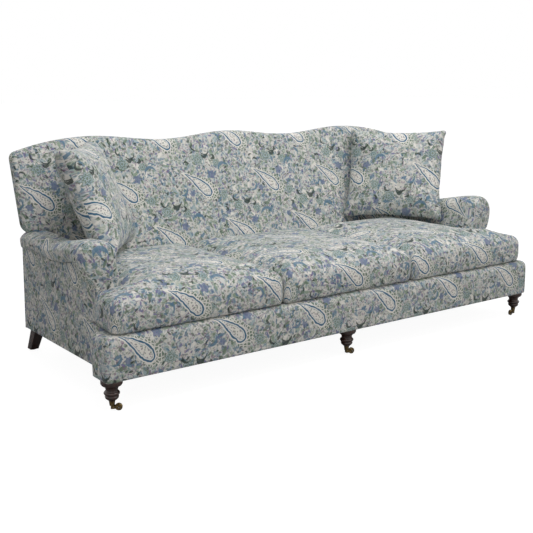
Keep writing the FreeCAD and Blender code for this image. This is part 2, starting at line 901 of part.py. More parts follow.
# Corner pillows: knife edges, pointed corners and sides drawn in between them
def pillow_outline(share, offset, inset, draw_in, turn):
    half = (pillow_width / 2 - inset) * share
    low = inset * share + pillow_height / 2 * (1 - share)
    high = pillow_height - low
    turn = turn * share
    draw_in = draw_in * share
    bend = turn * (1 - math.sqrt(0.5))
    steps = [
        (0, low + draw_in, half - turn, low),
        (half - bend, low + bend, half, low + turn),
        (half - draw_in, (low + high) / 2, half, high - turn),
        (half - bend, high - bend, half - turn, high),
        (0, high - draw_in, -half + turn, high),
        (-half + bend, high - bend, -half, high - turn),
        (-half + draw_in, (low + high) / 2, -half, low + turn),
        (-half + bend, low + bend, -half + turn, low),
    ]
    return path((-half + turn, low), steps, lambda x, z: V(x, offset * share, z))


def stuffed(share, rows):
    return loft([pillow_outline(share, *row) for row in rows])


def set_down(shape, onto, gap):
    """Lower a shape until it is the given gap above what it rests on."""
    for attempt in range(12):
        room = shape.distToShape(onto)[0] - gap
        if abs(room) < 0.02:
            break
        shape.translate(V(0, 0, -room))
    return shape


pillow = stuffed(1.0, pillow_sections)
insert = stuffed(insert_share, pillow_sections[1::2])
pillow = Part.Compound([pillow, insert])
pillow.rotate(V(0, 0, 0), V(1, 0, 0), -pillow_lean)
pillow.rotate(V(0, 0, 0), V(0, 0, 1), -pillow_turn)
pillow.translate(V(pillow_x, pillow_y, cushion_bottom + cushion_crown_sections[-1][0]))
pillow = set_down(pillow, end_cushion, cushion_gap)
pillow_shell, pillow_insert = pillow.Solids
pillow_cover = pillow_shell.cut(pillow_insert)
parts["pillow_left"] = mirrored(pillow_cover)
parts["pillow_right"] = pillow_cover
parts["pillow_insert_left"] = mirrored(pillow_insert)
parts["pillow_insert_right"] = pillow_insert

# Footprint and export
bounds = parts["inside_back"].optimalBoundingBox(False, False)
shift = V(0, -bounds.YMax / 2, 0)
print("overall depth", round(bounds.YMax, 3), "and height", round(bounds.ZMax, 3))
for name, shape in parts.items():
    shape.translate(shift)
    shape.exportStep("parts/" + name + ".step")
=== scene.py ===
import math

import bmesh
import bpy
import numpy as np
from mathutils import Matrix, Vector, geometry, noise


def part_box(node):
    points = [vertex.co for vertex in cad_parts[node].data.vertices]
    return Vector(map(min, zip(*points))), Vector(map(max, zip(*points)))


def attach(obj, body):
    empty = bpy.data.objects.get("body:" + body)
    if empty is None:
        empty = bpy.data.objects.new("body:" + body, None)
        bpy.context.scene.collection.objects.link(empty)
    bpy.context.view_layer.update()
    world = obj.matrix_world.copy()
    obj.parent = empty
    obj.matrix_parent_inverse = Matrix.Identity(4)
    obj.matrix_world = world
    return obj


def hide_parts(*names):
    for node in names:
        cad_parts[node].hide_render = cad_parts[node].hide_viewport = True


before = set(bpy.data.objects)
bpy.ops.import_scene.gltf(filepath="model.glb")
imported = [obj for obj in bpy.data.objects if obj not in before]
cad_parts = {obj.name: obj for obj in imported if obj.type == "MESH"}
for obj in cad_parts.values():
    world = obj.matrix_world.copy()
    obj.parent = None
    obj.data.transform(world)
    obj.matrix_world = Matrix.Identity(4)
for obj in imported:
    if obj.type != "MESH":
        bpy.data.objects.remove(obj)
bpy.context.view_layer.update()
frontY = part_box("front_border")[0][1]  # front face of the base, depths are measured from it
print("frame loaded, front of base at", round(frontY, 4))

# Colours of the print and of the other finishes, as sRGB.
dyes = {
    "ground": "#d0ccc4", "groundCool": "#c8cac9", "cream": "#e3dfd7",
    "outline": "#456a85", "steel": "#5d7c92", "mist": "#9fb0b4",
    "navy": "#475b86", "violet": "#767299", "plum": "#866882",
    "sage": "#8d9e8a", "moss": "#677a66", "ink": "#38443f",
}


def hexToLinear(code):
    channels = [int(code[place:place + 2], 16) / 255 for place in (1, 3, 5)]
    return [c / 12.92 if c <= 0.04045 else ((c + 0.055) / 1.055) ** 2.4 for c in channels] + [1.0]


def addNode(tree, kind, inputs=None, **settings):
    made = tree.nodes.new(kind)
    for key, value in settings.items():
        setattr(made, key, value)
    for key, value in (inputs or {}).items():
        if isinstance(value, bpy.types.NodeSocket):
            tree.links.new(value, made.inputs[key])
        else:
            made.inputs[key].default_value = value
    return made


def newGroup(name, kind, inputs, outputs):
    tree = bpy.data.node_groups.new(name, kind)
    for title, socket, value in inputs:
        made = tree.interface.new_socket(title, in_out="INPUT", socket_type=socket)
        if value is not None:
            made.default_value = value
    for title, socket in outputs:
        tree.interface.new_socket(title, in_out="OUTPUT", socket_type=socket)
    return tree, tree.nodes.new("NodeGroupInput").outputs, tree.nodes.new("NodeGroupOutput").inputs


# Printed cloth: the motifs, each a small node group.

def teardropGroup():
    # Signed distance to a curled teardrop that stands on its round end, in metres.
    tree, given, result = newGroup(
        "teardrop", "ShaderNodeTree",
        [("Point", "NodeSocketVector", None), ("Width", "NodeSocketFloat", 0.034),
         ("Height", "NodeSocketFloat", 0.09), ("Curl", "NodeSocketFloat", 0.012)],
        [("Distance", "NodeSocketFloat")])
    split = addNode(tree, "ShaderNodeSeparateXYZ", {0: given["Point"]}).outputs
    rise = addNode(tree, "ShaderNodeMath", {0: split["Y"], 1: given["Height"]}, operation="DIVIDE").outputs[0]
    lifted = addNode(tree, "ShaderNodeMath", {0: rise, 1: 1.0}, operation="ADD").outputs[0]
    squared = addNode(tree, "ShaderNodeMath", {0: lifted, 1: 2.0}, operation="POWER").outputs[0]
    bent = addNode(tree, "ShaderNodeMath", {0: squared, 1: given["Curl"], 2: split["X"]},
                   operation="MULTIPLY_ADD").outputs[0]
    taper = addNode(tree, "ShaderNodeMapRange", {"Value": rise, "From Min": -1.0, "From Max": 1.0,
                                                 "To Min": 1.0, "To Max": 0.16}).outputs[0]
    wide = addNode(tree, "ShaderNodeMath", {0: given["Width"], 1: taper}, operation="MULTIPLY").outputs[0]
    across = addNode(tree, "ShaderNodeMath", {0: bent, 1: wide}, operation="DIVIDE").outputs[0]
    unit = addNode(tree, "ShaderNodeCombineXYZ", {0: across, 1: rise}).outputs[0]
    size = addNode(tree, "ShaderNodeCombineXYZ", {0: wide, 1: given["Height"], 2: 1.0}).outputs[0]
    steep = addNode(tree, "ShaderNodeVectorMath", {0: unit, 1: size}, operation="DIVIDE").outputs[0]
    near = addNode(tree, "ShaderNodeVectorMath", {0: unit}, operation="LENGTH").outputs["Value"]
    slope = addNode(tree, "ShaderNodeVectorMath", {0: steep}, operation="LENGTH").outputs["Value"]
    past = addNode(tree, "ShaderNodeMath", {0: near, 1: 1.0}, operation="SUBTRACT").outputs[0]
    scaled = addNode(tree, "ShaderNodeMath", {0: near, 1: past}, operation="MULTIPLY").outputs[0]
    distance = addNode(tree, "ShaderNodeMath", {0: scaled, 1: slope}, operation="DIVIDE").outputs[0]
    tree.links.new(distance, result["Distance"])
    return tree


def crescentGroup():
    # A sickle leaf: an arc that thins to nothing at both ends.
    tree, given, result = newGroup(
        "crescent", "ShaderNodeTree",
        [("Point", "NodeSocketVector", None), ("Centre", "NodeSocketVector", None),
         ("Turn", "NodeSocketFloat", 0.0), ("Radius", "NodeSocketFloat", 0.02),
         ("Thick", "NodeSocketFloat", 0.005)],
        [("Mask", "NodeSocketFloat")])
    moved = addNode(tree, "ShaderNodeVectorMath", {0: given["Point"], 1: given["Centre"]},
                    operation="SUBTRACT")
    turned = addNode(tree, "ShaderNodeVectorRotate", {"Vector": moved.outputs[0], "Angle": given["Turn"]},
                     rotation_type="Z_AXIS").outputs[0]
    split = addNode(tree, "ShaderNodeSeparateXYZ", {0: turned}).outputs
    away = addNode(tree, "ShaderNodeVectorMath", {0: turned}, operation="LENGTH").outputs["Value"]
    off = addNode(tree, "ShaderNodeMath", {0: away, 1: given["Radius"]}, operation="SUBTRACT").outputs[0]
    off = addNode(tree, "ShaderNodeMath", {0: off}, operation="ABSOLUTE").outputs[0]
    high = addNode(tree, "ShaderNodeMath", {0: split["Y"], 1: given["Radius"]}, operation="DIVIDE").outputs[0]
    half = addNode(tree, "ShaderNodeMath", {0: high, 1: given["Thick"]}, operation="MULTIPLY").outputs[0]
    inside = addNode(tree, "ShaderNodeMath", {0: half, 1: off}, operation="SUBTRACT").outputs[0]
    mask = addNode(tree, "ShaderNodeMapRange", {"Value": inside, "From Min": 0.0,
                                                "From Max": 0.0012}).outputs[0]
    tree.links.new(mask, result["Mask"])
    return tree


def rosetteGroup():
    # A round flower: Mask is 1 inside its petals, and Ring rises and falls in rows round the centre.
    tree, given, result = newGroup(
        "rosette", "ShaderNodeTree",
        [("Point", "NodeSocketVector", None), ("Centre", "NodeSocketVector", None),
         ("Petals", "NodeSocketFloat", 7.0), ("Radius", "NodeSocketFloat", 0.022)],
        [("Mask", "NodeSocketFloat"), ("Ring", "NodeSocketFloat")])
    moved = addNode(tree, "ShaderNodeVectorMath", {0: given["Point"], 1: given["Centre"]},
                    operation="SUBTRACT")
    split = addNode(tree, "ShaderNodeSeparateXYZ", {0: moved.outputs[0]}).outputs
    angle = addNode(tree, "ShaderNodeMath", {0: split["Y"], 1: split["X"]}, operation="ARCTAN2").outputs[0]
    spin = addNode(tree, "ShaderNodeMath", {0: angle, 1: given["Petals"]}, operation="MULTIPLY").outputs[0]
    wave = addNode(tree, "ShaderNodeMath", {0: spin}, operation="COSINE").outputs[0]
    reach = addNode(tree, "ShaderNodeMapRange", {"Value": wave, "From Min": -1.0, "From Max": 1.0,
                                                 "To Min": 0.68, "To Max": 1.0}).outputs[0]
    away = addNode(tree, "ShaderNodeVectorMath", {0: moved.outputs[0]}, operation="LENGTH").outputs["Value"]
    share = addNode(tree, "ShaderNodeMath", {0: away, 1: given["Radius"]}, operation="DIVIDE").outputs[0]
    share = addNode(tree, "ShaderNodeMath", {0: share, 1: reach}, operation="DIVIDE").outputs[0]
    mask = addNode(tree, "ShaderNodeMapRange", {"Value": share, "From Min": 1.0, "From Max": 0.93}).outputs[0]
    rings = addNode(tree, "ShaderNodeMath", {0: share, 1: 15.0}, operation="MULTIPLY").outputs[0]
    rings = addNode(tree, "ShaderNodeMath", {0: rings}, operation="SINE").outputs[0]
    tree.links.new(mask, result["Mask"])
    tree.links.new(rings, result["Ring"])
    return tree


def sprigGroup():
    # Scattered small leaves, one in each cell of a loose lattice, each turned its own way.
    tree, given, result = newGroup(
        "sprigs", "ShaderNodeTree",
        [("Point", "NodeSocketVector", None), ("PerMetre", "NodeSocketFloat", 30.0),
         ("Length", "NodeSocketFloat", 0.014), ("Thick", "NodeSocketFloat", 0.005)],
        [("Mask", "NodeSocketFloat"), ("Choice", "NodeSocketColor")])
    cells = addNode(tree, "ShaderNodeTexVoronoi", {"Vector": given["Point"], "Scale": given["PerMetre"],
                                                   "Randomness": 0.9}, voronoi_dimensions="2D").outputs
    local = addNode(tree, "ShaderNodeVectorMath", {0: given["Point"], 1: cells["Position"]},
                    operation="SUBTRACT")
    pick = addNode(tree, "ShaderNodeSeparateColor", {0: cells["Color"]}).outputs
    angle = addNode(tree, "ShaderNodeMath", {0: pick[2], 1: 6.283}, operation="MULTIPLY").outputs[0]
    turned = addNode(tree, "ShaderNodeVectorRotate", {"Vector": local.outputs[0], "Angle": angle},
                     rotation_type="Z_AXIS").outputs[0]
    split = addNode(tree, "ShaderNodeSeparateXYZ", {0: turned}).outputs
    along = addNode(tree, "ShaderNodeMath", {0: split["X"], 1: given["Length"]},
                    operation="DIVIDE").outputs[0]
    square = addNode(tree, "ShaderNodeMath", {0: along, 1: along}, operation="MULTIPLY").outputs[0]
    lens = addNode(tree, "ShaderNodeMath", {0: 1.0, 1: square}, operation="SUBTRACT").outputs[0]
    half = addNode(tree, "ShaderNodeMath", {0: lens, 1: given["Thick"]}, operation="MULTIPLY").outputs[0]
    side = addNode(tree, "ShaderNodeMath", {0: split["Y"]}, operation="ABSOLUTE").outputs[0]
    inside = addNode(tree, "ShaderNodeMath", {0: half, 1: side}, operation="SUBTRACT").outputs[0]
    mask = addNode(tree, "ShaderNodeMapRange", {"Value": inside, "From Min": 0.0,
                                                "From Max": 0.0015}).outputs[0]
    tree.links.new(mask, result["Mask"])
    tree.links.new(cells["Color"], result["Choice"])
    return tree


# What can be changed in the print: sizes and places in metres within one repeat.
# Hooks and sickles: x, y, turn, radius, thickness. Rosettes and florets: x, y, petals, radius.
printPlan = {
    "repeat": (0.425, 0.5),
    "teardrops": [(0.0, 0.0), (0.2, 0.25)],
    "lean": -0.62,
    "width": 0.043, "height": 0.090, "curl": 0.011,
    "outline": 0.0072, "fringeShift": (0.014, -0.016, 0.0), "fringeWidth": 1.66, "fringeHeight": 1.20,
    "hooks": [(0.155, 0.05, 0.1, 0.034, 0.0085), (0.352, 0.31, -0.3, 0.03, 0.008),
              (-0.10, -0.03, 0.9, 0.026, 0.006), (0.09, 0.215, 2.4, 0.026, 0.006)],
    "sickles": [(0.04, 0.145, 3.1, 0.017, 0.007), (0.045, 0.165, 3.1, 0.027, 0.006),
                (0.075, 0.125, 2.2, 0.014, 0.006), (-0.02, 0.16, -2.2, 0.02, 0.006),
                (0.245, -0.105, 3.1, 0.016, 0.007), (0.25, -0.085, 2.9, 0.026, 0.005),
                (0.285, -0.12, 2.1, 0.013, 0.006), (0.20, -0.07, -2.1, 0.02, 0.005),
                (0.325, 0.10, 1.2, 0.014, 0.005), (0.13, -0.16, 0.2, 0.015, 0.005)],
    "rosettes": [(-0.015, 0.115, 8.0, 0.034), (0.10, 0.095, 6.0, 0.026), (0.205, -0.135, 8.0, 0.034),
                 (0.31, -0.155, 6.0, 0.026), (0.33, 0.175, 9.0, 0.030), (0.10, -0.05, 5.0, 0.022)],
    "florets": [(0.075, 0.035, 5.0, 0.024), (0.275, -0.215, 5.0, 0.024), (-0.085, 0.085, 6.0, 0.017),
                (0.145, 0.195, 6.0, 0.018), (0.38, 0.02, 5.0, 0.017), (0.30, 0.045, 6.0, 0.014)],
}


def dyeRamp(tree, pick, ramp):
    # One dye of the list for each value of pick, in equal steps.
    choice = addNode(tree, "ShaderNodeValToRGB", {0: pick})
    choice.color_ramp.interpolation = "CONSTANT"
    stops = choice.color_ramp.elements
    while len(stops) < len(ramp):
        stops.new(0.5)
    for place, dye in enumerate(ramp):
        stops[place].position = place / len(ramp)
        stops[place].color = hexToLinear(dyes[dye])
    return choice.outputs[0]


def foldedRound(tree, point, x, y):
    # Cloth coordinates within one repeat, measured from the motif at x, y.
    half = (printPlan["repeat"][0] / 2, printPlan["repeat"][1] / 2, 1.0)
    moved = addNode(tree, "ShaderNodeVectorMath", {0: point, 1: (x, y, 0.0)}, operation="SUBTRACT")
    return addNode(tree, "ShaderNodeVectorMath", {0: moved.outputs[0], 1: half, 2: tuple(-h for h in half)},
                   operation="WRAP").outputs[0]


def printGroup():
    tear, sickle, rosette, sprig = teardropGroup(), crescentGroup(), rosetteGroup(), sprigGroup()
    tree, given, result = newGroup("paisleyPrint", "ShaderNodeTree", [("Cloth", "NodeSocketVector", None)],
                                   [("Color", "NodeSocketColor")])
    plan = printPlan
    # a little wander keeps the lines from looking ruled
    wander = addNode(tree, "ShaderNodeTexNoise", {"Vector": given["Cloth"], "Scale": 38.0, "Detail": 2.0},
                     noise_dimensions="2D")
    wander = addNode(tree, "ShaderNodeVectorMath", {0: wander.outputs["Color"], 1: (0.5, 0.5, 0.5)},
                     operation="SUBTRACT")
    point = addNode(tree, "ShaderNodeVectorMath", {0: wander.outputs[0], 1: (0.010, 0.010, 0.0),
                                                   2: given["Cloth"]}, operation="MULTIPLY_ADD").outputs[0]
    cloud = addNode(tree, "ShaderNodeTexNoise", {"Vector": given["Cloth"], "Scale": 9.0, "Detail": 3.0},
                    noise_dimensions="2D").outputs[0]
    color = addNode(tree, "ShaderNodeMix", {0: cloud, 6: hexToLinear(dyes["ground"]),
                                            7: hexToLinear(dyes["groundCool"])}, data_type="RGBA").outputs[2]
    # leafy patches of pale dye, parted by a net of bare cloth: large ones, then small ones over them
    for perMetre, line, ramp, strength in (
            (38.0, 0.11, ("ground", "sage", "mist", "ground", "steel", "sage", "moss"), 0.74),
            (88.0, 0.13, ("ground", "moss", "ground", "steel", "mist", "plum", "ground", "ink"), 0.56)):
        cells = addNode(tree, "ShaderNodeTexVoronoi", {"Vector": point, "Scale": perMetre},
                        voronoi_dimensions="2D")
        edges = addNode(tree, "ShaderNodeTexVoronoi", {"Vector": point, "Scale": perMetre},
                        feature="DISTANCE_TO_EDGE", voronoi_dimensions="2D").outputs["Distance"]
        pick = addNode(tree, "ShaderNodeSeparateColor", {0: cells.outputs["Color"]}).outputs
        choice = dyeRamp(tree, pick[0], ramp)
        inner = addNode(tree, "ShaderNodeMapRange", {"Value": edges, "From Min": line, "From Max": line * 1.5,
                                                     "To Max": strength}).outputs[0]
        color = addNode(tree, "ShaderNodeMix", {0: inner, 6: color, 7: choice}, data_type="RGBA").outputs[2]
    # winding stems along the edges of loose cells
    for perMetre, thick, dye, strength, shift in ((13.0, 0.030, "plum", 0.62, 0.0),
                                                  (19.0, 0.032, "moss", 0.55, 3.7),
                                                  (24.0, 0.045, "steel", 0.5, 8.1)):
        moved = addNode(tree, "ShaderNodeVectorMath", {0: point, 1: (shift, shift, 0.0)},
                        operation="ADD").outputs[0]
        edge = addNode(tree, "ShaderNodeTexVoronoi", {"Vector": moved, "Scale": perMetre},
                       feature="DISTANCE_TO_EDGE", voronoi_dimensions="2D").outputs["Distance"]
        gate = addNode(tree, "ShaderNodeTexNoise", {"Vector": moved, "Scale": 17.0},
                       noise_dimensions="2D").outputs[0]
        gate = addNode(tree, "ShaderNodeMapRange", {"Value": gate, "From Min": 0.48, "From Max": 0.54,
                                                    "To Max": strength}).outputs[0]
        line = addNode(tree, "ShaderNodeMapRange", {"Value": edge, "From Min": thick, "From Max": thick * 0.5,
                                                    "To Max": 1.0}).outputs[0]
        mask = addNode(tree, "ShaderNodeMath", {0: line, 1: gate}, operation="MULTIPLY").outputs[0]
        color = addNode(tree, "ShaderNodeMix", {0: mask, 6: color, 7: hexToLinear(dyes[dye])},
                        data_type="RGBA").outputs[2]
    # scattered leaves and buds, coarse ones first; each takes its dye from its own cell
    for perMetre, length, thick, ramp, strength in (
            (22.0, 0.021, 0.0080, ("sage", "steel", "cream", "moss", "mist"), 0.85),
            (36.0, 0.0125, 0.0052, ("cream", "moss", "steel", "violet", "ink"), 0.85),
            (55.0, 0.0078, 0.0034, ("navy", "sage", "ink", "cream", "plum"), 0.7)):
        made = addNode(tree, "ShaderNodeGroup", {"Point": point, "PerMetre": perMetre, "Length": length,
                                                 "Thick": thick}, node_tree=sprig)
        pick = addNode(tree, "ShaderNodeSeparateColor", {0: made.outputs["Choice"]}).outputs
        choice = dyeRamp(tree, pick[0], ramp)
        kept = addNode(tree, "ShaderNodeMath", {0: pick[1], 1: 0.42}, operation="GREATER_THAN").outputs[0]
        mask = addNode(tree, "ShaderNodeMath", {0: made.outputs["Mask"], 1: kept},
                       operation="MULTIPLY").outputs[0]
        mask = addNode(tree, "ShaderNodeMath", {0: mask, 1: strength}, operation="MULTIPLY").outputs[0]
        color = addNode(tree, "ShaderNodeMix", {0: mask, 6: color, 7: choice},
                        data_type="RGBA").outputs[2]
    # placed motifs: fold the cloth into one repeat, once round each motif's own centre
    for kind, colours in (("rosettes", ("mist", "moss")), ("florets", ("violet", "steel"))):
        for x, y, petals, radius in plan[kind]:
            local = foldedRound(tree, point, x, y)
            made = addNode(tree, "ShaderNodeGroup", {"Point": local, "Petals": petals, "Radius": radius},
                           node_tree=rosette)
            ring = addNode(tree, "ShaderNodeMapRange", {"Value": made.outputs["Ring"], "From Min": -0.2,
                                                        "From Max": 0.2}).outputs[0]
            pale, deep = [hexToLinear(dyes[dye]) for dye in colours]
            body = addNode(tree, "ShaderNodeMix", {0: ring, 6: pale, 7: deep}, data_type="RGBA").outputs[2]
            mask = addNode(tree, "ShaderNodeMath", {0: made.outputs["Mask"], 1: 0.8},
                           operation="MULTIPLY").outputs[0]
            color = addNode(tree, "ShaderNodeMix", {0: mask, 6: color, 7: body}, data_type="RGBA").outputs[2]
    for kind, dye in (("hooks", "steel"), ("sickles", "ink")):
        for x, y, turn, radius, thick in plan[kind]:
            local = foldedRound(tree, point, x, y)
            made = addNode(tree, "ShaderNodeGroup", {"Point": local, "Turn": turn, "Radius": radius,
                                                     "Thick": thick}, node_tree=sickle)
            mask = addNode(tree, "ShaderNodeMath", {0: made.outputs["Mask"], 1: 0.88},
                           operation="MULTIPLY").outputs[0]
            color = addNode(tree, "ShaderNodeMix", {0: mask, 6: color, 7: hexToLinear(dyes[dye])},
                            data_type="RGBA").outputs[2]
    for x, y in plan["teardrops"]:
        local = foldedRound(tree, point, x, y)
        turned = addNode(tree, "ShaderNodeVectorRotate", {"Vector": local, "Angle": plan["lean"]},
                         rotation_type="Z_AXIS").outputs[0]
        drop = addNode(tree, "ShaderNodeGroup", {
            "Point": turned, "Width": plan["width"], "Height": plan["height"], "Curl": plan["curl"]},
                       node_tree=tear)
        # the leafy fringe hangs on the lower right
        lowered = addNode(tree, "ShaderNodeVectorMath", {0: turned, 1: plan["fringeShift"]},
                          operation="SUBTRACT").outputs[0]
        fringe = addNode(tree, "ShaderNodeGroup", {
            "Point": lowered, "Width": plan["width"] * plan["fringeWidth"],
            "Height": plan["height"] * plan["fringeHeight"], "Curl": plan["curl"]}, node_tree=tear)
        scallop = addNode(tree, "ShaderNodeTexVoronoi", {"Vector": point, "Scale": 70.0},
                          feature="DISTANCE_TO_EDGE", voronoi_dimensions="2D").outputs["Distance"]
        veins = addNode(tree, "ShaderNodeMapRange", {"Value": scallop, "From Min": 0.10,
                                                     "From Max": 0.22}).outputs[0]
        leafy = addNode(tree, "ShaderNodeMix", {0: veins, 6: hexToLinear(dyes["cream"]),
                                                7: hexToLinear(dyes["moss"])}, data_type="RGBA").outputs[2]
        mask = addNode(tree, "ShaderNodeMapRange", {"Value": fringe.outputs[0], "From Min": 0.0,
                                                    "From Max": -0.003, "To Max": 0.8}).outputs[0]
        color = addNode(tree, "ShaderNodeMix", {0: mask, 6: color, 7: leafy}, data_type="RGBA").outputs[2]
        # outside in: pale halo, blue outline, pale field, fine inner line, field with buds
        buds = addNode(tree, "ShaderNodeTexVoronoi", {"Vector": point, "Scale": 85.0},
                       voronoi_dimensions="2D").outputs
        budPick = addNode(tree, "ShaderNodeSeparateColor", {0: buds["Color"]}).outputs
        budDye = addNode(tree, "ShaderNodeMix", {0: budPick[0], 6: hexToLinear(dyes["moss"]),
                                                 7: hexToLinear(dyes["plum"])}, data_type="RGBA").outputs[2]
        budMask = addNode(tree, "ShaderNodeMapRange", {"Value": buds["Distance"], "From Min": 0.34,
                                                       "From Max": 0.24, "To Max": 0.7}).outputs[0]
        field = addNode(tree, "ShaderNodeMix", {0: budMask, 6: hexToLinear(dyes["cream"]), 7: budDye},
                        data_type="RGBA").outputs[2]
        out = drop.outputs[0]
        width = plan["outline"]
        for edge, dye in ((0.005, "cream"), (0.0, "outline"), (-width, "cream"), (-width - 0.0045, "mist"),
                          (-width - 0.0065, None)):
            mask = addNode(tree, "ShaderNodeMapRange", {"Value": out, "From Min": edge + 0.0006,
                                                        "From Max": edge - 0.0006}).outputs[0]
            fill = field if dye is None else hexToLinear(dyes[dye])
            color = addNode(tree, "ShaderNodeMix", {0: mask, 6: color, 7: fill}, data_type="RGBA").outputs[2]
    tree.links.new(color, result["Color"])
    return tree


clothPrint = printGroup()
print("print drawn")


def surface(name, color=None, **values):
    material = bpy.data.materials.new(name)
    material.use_nodes = True
    shader = material.node_tree.nodes["Principled BSDF"]
    if color:
        shader.inputs["Base Color"].default_value = hexToLinear(color)
    for key, value in values.items():
        shader.inputs[key.replace("_", " ")].default_value = value
    return material, material.node_tree, shader


def printedLinen():
    # Linen union, screen printed: a dry matt cloth with a faint bloom at grazing angles.
    material, tree, shader = surface("printedLinen", Roughness=0.86, Sheen_Weight=0.18, Sheen_Roughness=0.45,
                                     Specular_IOR_Level=0.22)
    where = addNode(tree, "ShaderNodeUVMap", uv_map="cloth").outputs[0]
    drawn = addNode(tree, "ShaderNodeGroup", {"Cloth": where}, node_tree=clothPrint).outputs[0]
    # Threads lie 0.7 mm apart; drawn 2.4 mm apart, as finer ones don't show at this distance.
    slub = addNode(tree, "ShaderNodeTexNoise", {"Vector": where, "Scale": 420.0, "Detail": 2.0},
                   noise_dimensions="2D").outputs[0]
    shade = addNode(tree, "ShaderNodeMapRange", {"Value": slub, "From Min": 0.3, "From Max": 0.7,
                                                 "To Min": 0.93, "To Max": 1.06}).outputs[0]
    mixed = addNode(tree, "ShaderNodeMix", {0: 1.0, 6: drawn, 7: shade}, data_type="RGBA",
                    blend_type="MULTIPLY").outputs[2]
    tree.links.new(mixed, shader.inputs["Base Color"])
    weave = {"Vector": where, "Scale": 130.0, "Distortion": 1.2, "Detail": 1.0, "Detail Scale": 2.0}
    weft = addNode(tree, "ShaderNodeTexWave", weave, bands_direction="X").outputs["Fac"]
    warp = addNode(tree, "ShaderNodeTexWave", weave, bands_direction="Y").outputs["Fac"]
    threads = addNode(tree, "ShaderNodeMath", {0: weft, 1: warp}, operation="MAXIMUM").outputs[0]
    creases = addNode(tree, "ShaderNodeTexNoise", {"Vector": where, "Scale": 14.0, "Detail": 2.0},
                      noise_dimensions="2D").outputs[0]
    fine = addNode(tree, "ShaderNodeBump", {"Strength": 0.25, "Distance": 0.0004,
                                            "Height": threads}).outputs[0]
    soft = addNode(tree, "ShaderNodeBump", {"Strength": 0.35, "Distance": 0.006, "Height": creases,
                                            "Normal": fine}).outputs[0]
    tree.links.new(soft, shader.inputs["Normal"])
    return material


linen = printedLinen()


# Sewing: outlines, bands and caps that are merged into one skin with cloth coordinates.

def roundedOutline(corners, radii, spacing):
    # Closed loop, counterclockwise, with an arc at each corner and points about spacing apart.
    count = len(corners)
    loop = []
    for place, (corner, radius) in enumerate(zip(corners, radii)):
        here = Vector(corner)
        back = (Vector(corners[place - 1]) - here).normalized()
        onward = (Vector(corners[(place + 1) % count]) - here).normalized()
        half = back.angle(onward) / 2
        if radius <= 0 or half > math.pi / 2 - 0.01:
            loop.append(here)
            continue
        centre = here + (back + onward).normalized() * (radius / math.sin(half))
        start = here + back * (radius / math.tan(half)) - centre
        turn = math.pi - 2 * half
        if back.cross(onward) > 0:
            turn = -turn
        steps = max(3, round(radius * abs(turn) / spacing))
        for step in range(steps + 1):
            angle = turn * step / steps
            loop.append(centre + Vector((start.x * math.cos(angle) - start.y * math.sin(angle),
                                         start.x * math.sin(angle) + start.y * math.cos(angle))))
    full = []
    for here, after in zip(loop, loop[1:] + loop[:1]):
        pieces = max(1, round((after - here).length / spacing))
        full += [here.lerp(after, piece / pieces) for piece in range(pieces)]
    return np.array(full)


def outward(loop):
    along = np.roll(loop, -1, 0) - np.roll(loop, 1, 0)
    normal = np.stack([along[:, 1], -along[:, 0]], 1)
    return normal / np.linalg.norm(normal, axis=1)[:, None]


def fromOutline(points, loop):
    # Distance of each point to the loop, and whether it lies inside.
    a, b = loop[None], np.roll(loop, -1, 0)[None]
    far, inside = [], []
    for start in range(0, len(points), 1500):
        p = points[start:start + 1500][:, None]
        share = ((p - a) * (b - a)).sum(-1) / np.maximum(((b - a) ** 2).sum(-1), 1e-12)
        near = a + (b - a) * np.clip(share, 0, 1)[..., None]
        far.append(np.sqrt(((p - near) ** 2).sum(-1).min(1)))
        rise = b[..., 1] - a[..., 1]
        rise = np.where(abs(rise) < 1e-12, 1e-12, rise)
        cross = (a[..., 1] > p[..., 1]) != (b[..., 1] > p[..., 1])
        left = p[..., 0] < (b[..., 0] - a[..., 0]) * (p[..., 1] - a[..., 1]) / rise + a[..., 0]
        inside.append((cross & left).sum(1) % 2 == 1)
    return np.concatenate(far), np.concatenate(inside)


def cap(loop, spacing, place, flip=False):
    # Fills a loop with fine triangles; place turns flat points and their depth inside into 3-D and cloth.
    low, high = loop.min(0), loop.max(0)
    xs = np.arange(low[0] + spacing / 2, high[0], spacing)
    ys = np.arange(low[1] + spacing / 2, high[1], spacing)
    grid = np.stack(np.meshgrid(xs, ys), -1).reshape(-1, 2)
    if len(grid):
        far, inside = fromOutline(grid, loop)
        grid = grid[inside & (far > 0.55 * spacing)]
    flat = np.vstack([loop, grid])
    made = geometry.delaunay_2d_cdt([Vector(p) for p in flat], [], [list(range(len(loop)))], 1, 1e-7)
    flat = np.array([tuple(p) for p in made[0]])
    depth = fromOutline(flat, loop)[0]
    points, cloth = place(flat, depth)
    faces = [tuple(reversed(face)) if flip else tuple(face) for face in made[2]]
    return {"points": points, "faces": faces, "cloth": [[cloth[i] for i in face] for face in faces]}


def band(rows, clothRows, closed=True, flip=False):
    # Quads between rows of points; the cloth rows have one point more where the band closes on itself.
    count = len(rows[0])
    points = np.vstack(rows)
    faces, cloth = [], []
    for row in range(len(rows) - 1):
        for here in range(count if closed else count - 1):
            after = (here + 1) % count
            face = (row * count + here, row * count + after, (row + 1) * count + after,
                    (row + 1) * count + here)
            spots = [clothRows[row][here], clothRows[row][here + 1], clothRows[row + 1][here + 1],
                     clothRows[row + 1][here]]
            faces.append(tuple(reversed(face)) if flip else face)
            cloth.append(spots[::-1] if flip else spots)
    return {"points": points, "faces": faces, "cloth": cloth}


